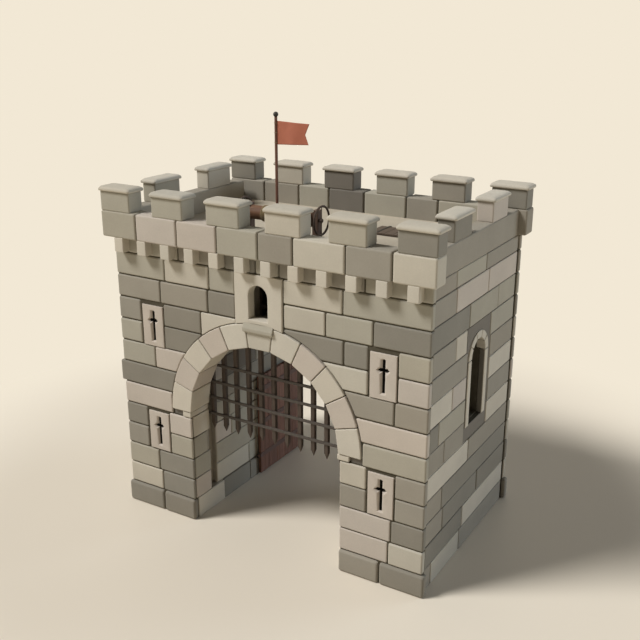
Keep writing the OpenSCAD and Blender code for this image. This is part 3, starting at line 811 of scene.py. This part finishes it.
for name, node, box_, tones, seed in (("merlon_stones_front", "front_merlons", MER_F, "MMMLMD", 81), ("merlon_stones_rear", "rear_merlons", MER_R, "DLWMGD", 82)):
    p = Piece(name, STONE, seed=seed)
    for k in range(6):
        x0, x1 = merlon_xs(k, node == "rear_merlons")
        bm = box_block(x0, x1, box_[0].y, box_[1].y, PTOP - 0.01, MTOP + 0.01, 0.028)
        p.take(bm, vary(p.rng, TONES[tones[k]]))
    p.make(replaces=(node,))
p = Piece("merlon_stones_sides", STONE, seed=83)
for s in (-1, 1):
    for t in (-1, 1):
        x0, x1 = sorted((s * MER_S[1].x, s * (MER_S[1].x - 0.285)))
        y0, y1 = (0.392, 1.092) if s < 0 and t > 0 else (t * 0.775 - 0.34, t * 0.775 + 0.34)
        bm = box_block(x0, x1, y0, y1, PTOP - 0.01, MTOP + 0.01, 0.028)
        p.take(bm, vary(p.rng, TONES[("D" if s > 0 else "M") if t < 0 else ("P" if s > 0 else "C")]))
p.make(replaces=("side_merlons",))


def cap_block(x0, x1, y0, y1, z0, z1, out=0.035, left=0.0):
    """A cap stone: a thin neck, an overhanging rim rounded like a cushion, and a slightly crowned top."""
    bm = bmesh.new()
    h = z1 - z0
    rings = [(-0.010, z0 - 0.004, 0.004), (-0.008, z0 + 0.006, 0.006), (out - 0.011, z0 + 0.008, 0.030), (out - 0.003, z0 + 0.018, 0.036),
             (out, z0 + 0.36 * h, 0.040), (out - 0.003, z0 + 0.52 * h, 0.042), (out - 0.010, z0 + 0.66 * h, 0.046), (out - 0.022, z0 + 0.78 * h, 0.050),
             (out - 0.040, z0 + 0.885 * h, 0.050), (out - 0.066, z0 + 0.955 * h, 0.046), (out - 0.100, z1 - 0.001, 0.040)]
    loops = []
    for o, z, r in rings:
        pts = []
        for sx, sy, a0 in ((1, 1, 0), (-1, 1, 90), (-1, -1, 180), (1, -1, 270)):
            cx = (x1 + o - r) if sx > 0 else (x0 - min(o, max(o * 0.3, o - left)) + r)
            cy = (y1 + o - r) if sy > 0 else (y0 - o + r)
            for i in range(4):
                t = math.radians(a0 + 30 * i)
                pts.append((cx + r * math.cos(t), cy + r * math.sin(t), z))
        loops.append([bm.verts.new(c) for c in pts])
    n = len(loops[0])
    for a, b in zip(loops, loops[1:]):
        for i in range(n):
            j = (i + 1) % n
            bm.faces.new((a[i], a[j], b[j], b[i]))
    bm.faces.new(loops[0][::-1])
    mid = bm.verts.new(((x0 + x1) / 2, (y0 + y1) / 2, z1))
    for i in range(n):
        bm.faces.new((loops[-1][i], loops[-1][(i + 1) % n], mid))
    bmesh.ops.recalc_face_normals(bm, faces=bm.faces)
    return bm


p = Piece("cap_stones", STONE, slot="pale_stone", seed=84)
for m, box_ in ((0, MER_F), (1, MER_R)):
    for k in range(6):
        x0, x1 = merlon_xs(k, m)
        bm = cap_block(x0, x1, box_[0].y, box_[1].y, MTOP, CAPS[1].z, left=0.0 if m else 0.015)
        p.take(bm, vary(p.rng, TONES["L" if m == 0 else "C"], 0.03))
for s in (-1, 1):
    for t in (-1, 1):
        x0, x1 = sorted((s * MER_S[1].x, s * (MER_S[1].x - 0.285)))
        y0, y1 = (0.392, 1.092) if s < 0 and t > 0 else (t * 0.775 - 0.34, t * 0.775 + 0.34)
        bm = cap_block(x0, x1, y0, y1, MTOP, CAPS[1].z)
        p.take(bm, vary(p.rng, TONES["C"], 0.03))
p.make(replaces=("merlon_caps",))

# ---------------------------------------------------------------- niche panel and sill


def fill_between(bm, loops):
    edges = []
    for lp in loops:
        for i in range(len(lp)):
            e = bm.edges.get((lp[i], lp[(i + 1) % len(lp)]))
            edges.append(e or bm.edges.new((lp[i], lp[(i + 1) % len(lp)])))
    bmesh.ops.triangle_fill(bm, use_beauty=True, use_dissolve=False, edges=edges)


def holed(outer, hole, d0, d1, soft=0.012, hole_soft=0.012):
    """A plate with an outline and a hole, both outlines listed counter-clockwise, edges rounded in front."""
    bm = bmesh.new()

    def grow(pts, by):
        n = len(pts)
        out = []
        for i in range(n):
            p0, p1, p2 = Vector(pts[i - 1]), Vector(pts[i]), Vector(pts[(i + 1) % n])
            e1, e2 = (p1 - p0).normalized(), (p2 - p1).normalized()
            n1, n2 = Vector((e1.y, -e1.x)), Vector((e2.y, -e2.x))
            m = (n1 + n2)
            k = by / max(0.3, (1 + n1.dot(n2)) / 2) / 2
            out.append(tuple(p1 + m * k))
        return out

    def loop(pts, d):
        return [bm.verts.new((a, d, b)) for a, b in pts]

    o = [(grow(outer, -soft), d0), (grow(outer, -soft * 0.3), d0 + soft * 0.3), (outer, d0 + soft), (outer, d1)]
    h = [(grow(hole, hole_soft), d0), (grow(hole, hole_soft * 0.3), d0 + hole_soft * 0.3), (hole, d0 + hole_soft), (hole, d1)]
    ol = [loop(*q) for q in o]
    hl = [loop(*q) for q in h]
    fill_between(bm, (ol[0], hl[0]))
    fill_between(bm, (ol[-1], hl[-1]))
    for ls in (ol, hl):
        for a, b in zip(ls, ls[1:]):
            n = len(a)
            for i in range(n):
                j = (i + 1) % n
                bm.faces.new((a[i], a[j], b[j], b[i]))
    bmesh.ops.recalc_face_normals(bm, faces=bm.faces)
    return bm


def arch_outline(r, z0, spring, n=14, cx=0.0):
    pts = [(cx - r, z0), (cx + r, z0)]
    for i in range(n + 1):
        t = math.pi * i / n
        pts.append((cx + r * math.cos(t), spring + r * math.sin(t)))
    return pts


p = Piece("niche_stone", STONE, slot="pale_stone", seed=91)
R = RO + 0.004
t1 = math.asin(0.453 / R)
arc = [(R * math.sin(t), SPRING + R * math.cos(t)) for t in [t1 - 2 * t1 * i / 8 for i in range(9)]]
outer = [(-0.453, zc(12) - 0.003)] + [(-a, b) for a, b in arc] + [(0.453, zc(12) - 0.003)]
outer = [outer[0]] + sorted(outer[1:-1]) + [outer[-1]]
bm = holed(outer, arch_outline(0.183, 4.11, 4.507), -0.030, 0.138, 0.014, 0.016)
put(bm, PLACES["front"])
p.take(bm, TONES["C"])
p.make(replaces=("niche_panel",))

p = Piece("niche_sill_stone", STONE, slot="pale_stone", seed=92)
bm = bmesh.new()
prof = [(-0.030, 4.050), (-0.060, 3.985), (-0.076, 3.965), (-0.076, 3.910), (-0.055, 3.888), (-0.030, 3.885)]
l0 = [bm.verts.new((-0.29, d, b)) for d, b in prof]
l1 = [bm.verts.new((0.29, d, b)) for d, b in prof]
bm.faces.new(l0)
bm.faces.new(l1[::-1])
for i in range(len(prof)):
    j = (i + 1) % len(prof)
    bm.faces.new((l0[i], l0[j], l1[j], l1[i]))
bmesh.ops.recalc_face_normals(bm, faces=bm.faces)
bevel(bm, 0.010, 2, angle=30)
put(bm, PLACES["front"])
p.take(bm, TONES["M"])
p.make(replaces=("niche_sill",))

# ---------------------------------------------------------------- window surrounds of the side walls
RIM = 0.131


def reveal_painted_shade(mesh_place):
    """Painted shade on the reveals: the faces of a jamb that look across the opening are darkened to 0.30 of their
    tone.
    """
    def f(face, tone):
        n = face.normal
        return tuple(0.30 * t for t in tone) if abs(n.y) > 0.8 and abs(face.calc_center_median().x) < SF - 0.006 else tone
    return f


p = Piece("window_surround_stones", STONE, slot="pale_stone", seed=93)
q = Piece("window_panel_stones", STONE, seed=94)
for place, cy in (("right", WIN_Y), ("left", -WIN_Y)):
    a, o = WIN_A, WIN_A + RIM
    for k in range(5):                              # the head
        t0, t1 = math.pi * k / 5 + 0.018, math.pi * (k + 1) / 5 - 0.018
        ts = [t0 + (t1 - t0) * i / 3 for i in range(4)]
        poly = [(cy + o * math.cos(t), WIN_S + o * math.sin(t)) for t in ts] + [(cy + (a - 0.002) * math.cos(t), WIN_S + (a - 0.002) * math.sin(t)) for t in ts[::-1]]
        bm = prism(poly, -0.014, 0.150, 0.014, 2, True)
        put(bm, PLACES[place], p.rng.uniform(-0.003, 0.0))
        p.take(bm, vary(p.rng, TONES["C"], 0.04))
    for s in (-1, 1):                               # the jambs
        cuts = (WIN_Z0 - 0.025, WIN_S)
        for z0, z1 in zip(cuts, cuts[1:]):
            x0, x1 = sorted((cy + s * a, cy + s * o))
            bm = prism([(x0, z0 + 0.004), (x1, z0 + 0.004), (x1, z1 - 0.004), (x0, z1 - 0.004)], -0.014, 0.088, 0.014, 2, True)
            put(bm, PLACES[place], p.rng.uniform(-0.003, 0.0))
            bm.normal_update()
            # the reveal faces of these jambs get painted shade
            p.take(bm, vary(p.rng, TONES["C"], 0.04), reveal_painted_shade(place))
    # the plain strip between the surround and the coursed stones
    hole = [(cy - o - 0.003, WIN_Z0 - 0.03), (cy + o + 0.003, WIN_Z0 - 0.03)] + [(cy + (o + 0.003) * math.cos(math.pi * i / 16), WIN_S + (o + 0.003) * math.sin(math.pi * i / 16)) for i in range(17)]
    sgn = 1 if cy > 0 else -1
    xs = sorted((sgn * -0.36, sgn * 0.66))
    outer = [(xs[0], zc(5) + 0.012), (xs[1], zc(5) + 0.012), (xs[1], zc(10) - 0.01), (xs[0], zc(10) - 0.01)]
    bm = holed(outer, hole, 0.010, 0.019, 0.002, 0.002)
    put(bm, PLACES[place])
    q.take(bm, TONES["W"])
p.make(replaces=("window_surrounds",), crease=35)
q.make()

# ---------------------------------------------------------------- carried-over CAD nodes
def dress(mat, *nodes):
    for n in nodes:
        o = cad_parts[n]
        o.data.materials.clear()
        o.data.materials.append(mat)


dress(MORTAR, "front_pier_left", "front_pier_right", "front_spandrel", "rear_pier_left", "rear_pier_right", "rear_spandrel",
      "side_wall_left", "side_wall_right", "passage_wall_left", "passage_wall_right")
dress(DECK_STONE, "roof_deck")
dress(IRON, "gate_pintles", "hatch_straps", "hatch_pins", "finial")
dress(IRON_G, "gate_straps_left", "gate_straps_right")
dress(POLE_WOOD, "flagpole")

# ---------------------------------------------------------------- timber, iron and rope


def tube(path, r, n=8, closed=False, up=None, radii=None):
    """A round bar along a path."""
    bm = bmesh.new()
    pts = [Vector(q) for q in path]
    m = len(pts)
    rings = []
    u = Vector(up) if up else None
    for i, q in enumerate(pts):
        if closed:
            t = (pts[(i + 1) % m] - pts[i - 1]).normalized()
        else:
            t = (pts[min(i + 1, m - 1)] - pts[max(i - 1, 0)]).normalized()
        if u is None:
            u = Vector((0, 0, 1)) if abs(t.z) < 0.9 else Vector((1, 0, 0))
        u = (u - t * u.dot(t)).normalized()
        w = t.cross(u)
        ri = radii[i] if radii else r
        rings.append([bm.verts.new(q + (u * math.cos(a) + w * math.sin(a)) * ri) for a in [2 * math.pi * k / n for k in range(n)]])
    pairs = list(zip(rings, rings[1:])) + ([(rings[-1], rings[0])] if closed else [])
    for a, b in pairs:
        for k in range(n):
            j = (k + 1) % n
            bm.faces.new((a[k], a[j], b[j], b[k]))
    if not closed:
        bm.faces.new(rings[0][::-1])
        bm.faces.new(rings[-1])
    bmesh.ops.recalc_face_normals(bm, faces=bm.faces)
    return bm


def lathe_x(profile, cy, cz, n=48):
    """A solid of revolution about an X axis through (cy, cz); profile lists (x, radius)."""
    return tube([(x, cy, cz) for x, r in profile], 0, n, radii=[r for x, r in profile], up=(0, 0, 1))


def grey(rng, k=1.0, amount=0.06):
    v = k * (1 + rng.uniform(-amount, amount))
    return (v, v, v)


# gate leaves: upright planks against the passage walls, with their straps' nail heads
for s, side_ in ((-1, "left"), (1, "right")):
    lo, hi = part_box("gate_leaf_" + side_)
    p = Piece("gate_planks_" + side_, LEAF_WOOD, body="gate_" + side_, slot="oak", seed=101 + s)
    n = 5
    w = (hi.y - lo.y) / n
    for k in range(n):
        e0, e1 = (0.0 if k == 0 else 0.003), (0.0 if k == n - 1 else 0.003)
        bm = box_block(lo.x, hi.x, lo.y + k * w + e0, lo.y + (k + 1) * w - e1, lo.z, hi.z, 0.009)
        p.take(bm, grey(p.rng, (1.0, 0.86, 1.06, 0.92, 1.0)[k]))
    bm = box_block(lo.x + 0.016, hi.x - 0.016, lo.y + 0.02, hi.y - 0.02, lo.z + 0.006, hi.z - 0.006, 0.0)
    p.take(bm, (0.12, 0.12, 0.12))
    p.make(replaces=("gate_leaf_" + side_,), crease=40)
    p = Piece("strap_nails_" + side_, IRON_G, body="gate_" + side_, slot="iron", seed=103)
    face = -s * 0.012 + (lo.x if s > 0 else hi.x)
    for z in (0.43, 1.13, 1.83):
        for k in range(n):
            cy = lo.y + (k + 0.5) * w - 0.01
            p.take(lathe_x([(face + s * 0.002, 0.011), (face - s * 0.002, 0.011), (face - s * 0.0055, 0.0075), (face - s * 0.007, 0.003)], cy, z, 10), (1, 1, 1))
    p.make()

# portcullis: sawn bars with pointed feet, flat rails riveted across them
BAR_N, BAR_P, BAR_W = 12, 0.263, 0.076
lo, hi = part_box("portcullis_bars")
cyb = (lo.y + hi.y) / 2
p = Piece("portcullis_timbers", BAR_WOOD, body="portcullis", slot="oak", seed=111)
for k in range(BAR_N):
    cx = (k - (BAR_N - 1) / 2) * BAR_P
    h = BAR_W / 2
    bm = bmesh.new()
    rings = []
    for z, g in ((hi.z, h), (lo.z + 0.155, h), (lo.z + 0.120, h), (lo.z + 0.105, h * 0.86), (lo.z + 0.05, h * 0.46), (lo.z + 0.004, h * 0.10)):
        c = min(0.006, g * 0.25)
        rings.append([bm.verts.new((cx + sx * (g - (c if m == 0 else 0)), cyb + sy * (g - (0 if m == 0 else c)), z))
                      for sx, sy, m in ((1, 1, 0), (-1, 1, 0), (-1, 1, 1), (-1, -1, 1), (-1, -1, 0), (1, -1, 0), (1, -1, 1), (1, 1, 1))])
    for a, b in zip(rings, rings[1:]):
        for i in range(8):
            j = (i + 1) % 8
            bm.faces.new((a[i], a[j], b[j], b[i]))
    bm.faces.new(rings[0][::-1])
    bm.faces.new(rings[-1])
    bmesh.ops.recalc_face_normals(bm, faces=bm.faces)
    p.take(bm, grey(p.rng))
p.make(replaces=("portcullis_bars",), crease=35)

PORT_TIP, PORT_TOP = 1.615, 4.930
y1 = cyb - BAR_W / 2
y0_ = y1 - 0.028
p = Piece("portcullis_rail_irons", IRON_B, body="portcullis", slot="iron", seed=112)
rails = [0.327, 0.645, 0.950, 1.280, 1.910, 2.540, PORT_TOP - PORT_TIP - 0.035]
for u in rails:
    z = PORT_TIP + u
    p.take(box_block(-1.6, 1.6, y0_, y1, z - 0.025, z + 0.025, 0.005), (1, 1, 1))
for s in (-1, 1):
    c = s * 1.5 * BAR_P
    p.take(box_block(c - 0.03, c + 0.03, y0_, y1, PORT_TOP - 0.011, PORT_TOP + 0.002, 0.002), (1, 1, 1))
    p.take(box_block(c - 0.03, c + 0.03, y0_, cyb + 0.010, PORT_TOP, PORT_TOP + 0.04, 0.004), (1, 1, 1))
for u in rails:
    z = PORT_TIP + u
    for k in range(BAR_N):
        cx = (k - (BAR_N - 1) / 2) * BAR_P
        bm = tube([(cx, y0_ + 0.001, z), (cx, y0_ - 0.0025, z), (cx, y0_ - 0.0055, z)], 0, 8, radii=[0.010, 0.010, 0.005])
        p.take(bm, (1, 1, 1))
p.make(replaces=("portcullis_rails",), crease=35)

# windlass
WX, WY, WZ = 0.02, -1.179, 5.690
lo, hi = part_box("windlass_posts")
p = Piece("windlass_post_timbers", POST_WOOD, slot="oak", seed=121)
for s in (-1, 1):
    for d0, d1 in ((0.59, 0.6425), (0.695, 0.6425)):
        t = 1 if d1 > d0 else -1
        circle = [(WY + 0.0262 * math.cos(2 * math.pi * k / 20), WZ + 0.0262 * math.sin(2 * math.pi * k / 20)) for k in range(20)]
        bm = holed([(lo.y, lo.z), (hi.y, lo.z), (hi.y, hi.z), (lo.y, hi.z)], circle, 0.0, abs(d1 - d0), 0.010, 0.003)
        for v in bm.verts:
            a, d, b = v.co
            v.co = (WX + s * (d0 + t * d), a, b)
        bmesh.ops.recalc_face_normals(bm, faces=bm.faces)
        p.take(bm, grey(p.rng))
p.make(replaces=("windlass_posts",), crease=40)

p = Piece("windlass_barrel", DRUM_WOOD, body="windlass", slot="oak", seed=122)
prof = [(-0.582, 0.001), (-0.582, 0.109), (-0.576, 0.115), (-0.45, 0.115), (-0.32, 0.115), (0.32, 0.115), (0.45, 0.115), (0.576, 0.115), (0.582, 0.109), (0.582, 0.001)]
p.take(lathe_x([(WX + x, r) for x, r in prof], WY, WZ, 48), (1, 1, 1))
p.make(replaces=("windlass_drum",), crease=35)
p = Piece("windlass_axle", IRON_W, body="windlass", slot="iron", seed=123)
for s in (-1, 1):
    prof = sorted([(s * 0.57, 0.025), (s * 0.750, 0.025), (s * 0.757, 0.020), (s * 0.758, 0.002)])
    p.take(lathe_x([(WX + x, r) for x, r in prof], WY, WZ, 24), (1, 1, 1))
p.make(crease=35)
p = Piece("windlass_wheel_irons", IRON_W, body="windlass", slot="iron", seed=124)
for s in (-1, 1):
    cx = WX + s * 0.735
    ring = [(cx, WY + 0.227 * math.cos(2 * math.pi * k / 64), WZ + 0.227 * math.sin(2 * math.pi * k / 64)) for k in range(64)]
    p.take(tube(ring, 0.0178, 10, True, up=(1, 0, 0)), (1, 1, 1))
    prof = [(cx - 0.016, 0.024), (cx - 0.016, 0.030), (cx - 0.011, 0.032), (cx + 0.011, 0.032), (cx + 0.016, 0.030), (cx + 0.016, 0.024)]
    p.take(lathe_x(prof, WY, WZ, 28), (1, 1, 1))
    for a in (90, 270):
        ca, sa_ = math.cos(math.radians(a)), math.sin(math.radians(a))
        p.take(tube([(cx, WY + r * ca, WZ + r * sa_) for r in (0.030, 0.06, 0.14, 0.220)], 0, 8, up=(1, 0, 0), radii=[0.008, 0.0065, 0.006, 0.007]), (1, 1, 1))
p.make(replaces=("windlass_wheels",), crease=40)

# rope: turns on the drum, and the two taut lengths down to the portcullis
ROPE_X, ROPE_R = 0.215, 0.010
p = Piece("rope_turns", ROPE, body="windlass", slot="hemp_rope", seed=131)
for s in (-1, 1):
    for c in range(11):
        cx = s * ROPE_X + (c - 5) * 0.020
        R_ = 0.115 + ROPE_R
        ring = [(cx, WY + R_ * math.cos(2 * math.pi * k / 48), WZ + R_ * math.sin(2 * math.pi * k / 48)) for k in range(48)]
        p.take(tube(ring, ROPE_R, 8, True, up=(1, 0, 0)), (1, 1, 1))
p.make(replaces=("rope_windings",), crease=60)
p = Piece("rope_falls", ROPE, body=None, slot="hemp_rope", seed=132)
lo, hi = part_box("lift_ropes")
ry = (lo.y + hi.y) / 2
for s in (-1, 1):
    for q in range(3):
        path = []
        m = 72
        for i in range(m + 1):
            z = hi.z + 0.006 + (4.966 - hi.z - 0.006) * i / m
            a = 2 * math.pi * (q / 3 + (z - hi.z) / 0.08)
            path.append((s * ROPE_X + 0.0048 * math.cos(a), ry + 0.0048 * math.sin(a), z))
        p.take(tube(path, 0.0052, 7), (1, 1, 1))
ob = p.make(replaces=("lift_ropes",), crease=70)
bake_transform(ob)

# hatch: framed opening and boarded lid
lo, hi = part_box("hatch_frame")
p = Piece("hatch_frame_timbers", FRAME_WOOD, slot="oak", seed=141)
for x0, x1, y0, y1_ in ((lo.x, hi.x, lo.y, lo.y + 0.04), (lo.x, hi.x, hi.y - 0.04, hi.y), (lo.x, lo.x + 0.04, lo.y + 0.04, hi.y - 0.04), (hi.x - 0.04, hi.x, lo.y + 0.04, hi.y - 0.04)):
    p.take(box_block(x0, x1, y0, y1_, lo.z - 0.001, hi.z, 0.003), grey(p.rng))
p.make(replaces=("hatch_frame",), crease=40)
lo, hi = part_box("hatch_lid")
p = Piece("hatch_boards", HATCH_WOOD, body="hatch", slot="oak", seed=142)
n = 5
w = (hi.x - lo.x) / n
for k in range(n):
    bm = box_block(lo.x + k * w + (0.002 if k else 0), lo.x + (k + 1) * w - (0.002 if k < n - 1 else 0), lo.y, hi.y, lo.z, hi.z, 0.004)
    p.take(bm, grey(p.rng, (1.0, 0.9, 1.05, 0.94, 1.0)[k]))
p.take(box_block(lo.x + 0.02, hi.x - 0.02, lo.y + 0.02, hi.y - 0.02, lo.z + 0.008, hi.z - 0.010, 0.0), (0.15, 0.15, 0.15))
p.make(replaces=("hatch_lid",), crease=40)

# floors of the rooms inside
lo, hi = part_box("inner_floors")
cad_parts["inner_floors"].data.materials.clear()
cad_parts["inner_floors"].data.materials.append(INNER)

# flag: one sheet tied to the pole, flying out with a slight wave
POLE_X, POLE_Y = 0.055, -1.373
me = bpy.data.meshes.new("flag_sheet")
nu, nv = 40, 24
vv, ff = [], []


def flag_edge(v):
    """Free edge of the flag at height fraction v, with its notch."""
    if v >= 0.475:
        t = (v - 0.475) / 0.525
        return 0.578 + (0.652 - 0.578) * t
    t = v / 0.475
    return 0.636 + (0.578 - 0.636) * t


for layer in (0, 1):
    for j in range(nv + 1):
        v = j / nv
        xe = flag_edge(v)
        for i in range(nu + 1):
            u = i / nu
            x = 0.074 + (xe - 0.074) * u
            f = (x - 0.078) / 0.574
            zb = 6.845 + (6.872 - 6.845) * f
            zt = 7.203 + (7.186 - 7.203) * f
            z = zb + (zt - zb) * v
            amp = 0.010 * min(1.0, u * 2.2)
            y = POLE_Y + amp * math.sin(x * 12.5 - 0.8 * v + 0.3) + (0.0011 if layer else -0.0011)
            vv.append((x, y, z))
row = nu + 1
lay = row * (nv + 1)
for j in range(nv):
    for i in range(nu):
        a = j * row + i
        ff.append((a, a + 1, a + row + 1, a + row))
        ff.append((lay + a + row, lay + a + row + 1, lay + a + 1, lay + a))
rim = [j * row for j in range(nv + 1)]
for i in range(nu):
    ff.append((i + 1, i, lay + i, lay + i + 1))
    a = nv * row + i
    ff.append((a, a + 1, lay + a + 1, lay + a))
for j in range(nv):
    a, b = j * row, (j + 1) * row
    ff.append((a, b, lay + b, lay + a))
    a, b = j * row + nu, (j + 1) * row + nu
    ff.append((b, a, lay + a, lay + b))
me.from_pydata(vv, [], ff)
me.update()
me.polygons.foreach_set("use_smooth", np.ones(len(me.polygons), bool))
me.materials.append(CLOTH)
flag = bpy.data.objects.new("flag_sheet", me)
bpy.context.scene.collection.objects.link(flag)
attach(flag, "gatehouse")
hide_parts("flag")
p = Piece("flag_rings", ROPE, slot="hemp_rope", seed=151)
for z in (6.875, 7.025, 7.172):
    ring = [(POLE_X + 0.0265 * math.cos(2 * math.pi * k / 24), POLE_Y + 0.0265 * math.sin(2 * math.pi * k / 24), z) for k in range(24)]
    p.take(tube(ring, 0.0036, 6, True, up=(0, 0, 1)), (1, 1, 1))
rings_ob = p.make(crease=60)

# ---------------------------------------------------------------- light, floor, camera
scene = bpy.context.scene
world = bpy.data.worlds.new("studio")
scene.world = world
world.use_nodes = True
wt = world.node_tree
bg = wt.nodes["Background"]
bg.inputs["Color"].default_value = (1, 1, 1, 1)
bg.inputs["Strength"].default_value = 0.068
bg2 = wt.nodes.new("ShaderNodeBackground")
bg2.inputs["Color"].default_value = (*srgb(242, 232, 213), 1)
bg2.inputs["Strength"].default_value = 1.0
lp = wt.nodes.new("ShaderNodeLightPath")
seen = wt.nodes.new("ShaderNodeMath")
seen.operation = "MAXIMUM"
link(wt, lp.outputs["Is Camera Ray"], seen.inputs[0])
link(wt, lp.outputs["Is Glossy Ray"], seen.inputs[1])
mx = wt.nodes.new("ShaderNodeMixShader")
link(wt, seen.outputs[0], mx.inputs[0])
link(wt, bg.outputs[0], mx.inputs[1])
link(wt, bg2.outputs[0], mx.inputs[2])
link(wt, mx.outputs[0], wt.nodes["World Output"].inputs["Surface"])


def add_sun(name, az, el, energy, angle, color=(1, 1, 1)):
    """A sun that shines from azimuth az (0 is in front of the gate, 90 at its right side) and elevation el."""
    sun = bpy.data.lights.new(name, "SUN")
    sun.energy = energy
    sun.angle = math.radians(angle)
    sun.color = color
    so = bpy.data.objects.new(name, sun)
    scene.collection.objects.link(so)
    a, e = math.radians(az), math.radians(el)
    d = Vector((math.cos(e) * math.sin(a), -math.cos(e) * math.cos(a), math.sin(e)))
    so.rotation_euler = d.to_track_quat("Z", "Y").to_euler()


add_sun("key", -48, 49, 3.25, 17)
add_sun("fill_right", 138, 11, 1.22, 34, (0.85, 1.0, 1.17))
add_sun("fill_top", 180, 80, 0.10, 60, (1.15, 1.0, 0.80))

me = bpy.data.meshes.new("floor")
S = 400.0
me.from_pydata([(-S, -S, 0), (S, -S, 0), (S, S, 0), (-S, S, 0)], [], [(0, 1, 2, 3)])
floor = bpy.data.objects.new("floor", me)
scene.collection.objects.link(floor)
fm, ft, fb = material("floor")
fb.inputs["Base Color"].default_value = (0.735, 0.66, 0.545, 1)
fb.inputs["Roughness"].default_value = 0.5
fb.inputs["Specular IOR Level"].default_value = 0.5
# far away the floor turns into the backdrop
ln = ft.nodes.new("ShaderNodeVectorMath")
ln.operation = "LENGTH"
link(ft, coords(ft), ln.inputs[0])
far = ft.nodes.new("ShaderNodeMapRange")
far.interpolation_type = "SMOOTHSTEP"
link(ft, ln.outputs["Value"], far.inputs["Value"])
far.inputs["From Min"].default_value = 5.6
far.inputs["From Max"].default_value = 9.6
em = ft.nodes.new("ShaderNodeEmission")
em.inputs["Color"].default_value = (*srgb(242, 232, 213), 1)
fmix = ft.nodes.new("ShaderNodeMixShader")
link(ft, far.outputs["Result"], fmix.inputs[0])
link(ft, fb.outputs["BSDF"], fmix.inputs[1])
link(ft, em.outputs[0], fmix.inputs[2])
link(ft, fmix.outputs[0], [n for n in ft.nodes if n.type == "OUTPUT_MATERIAL"][0].inputs["Surface"])
me.materials.append(fm)

cam_d = bpy.data.cameras.new("camera")
cam = bpy.data.objects.new("camera", cam_d)
scene.collection.objects.link(cam)
cam.location = (7.854, -13.002, 8.774)
cam.rotation_euler = (math.radians(90 - 18.901), 0, math.radians(31.087))
cam_d.sensor_width = 36
cam_d.lens = 36 * 899.55 / 640
cam_d.clip_end = 1000
scene.camera = cam
scene.view_settings.view_transform = "Standard"
scene.view_settings.look = "None"
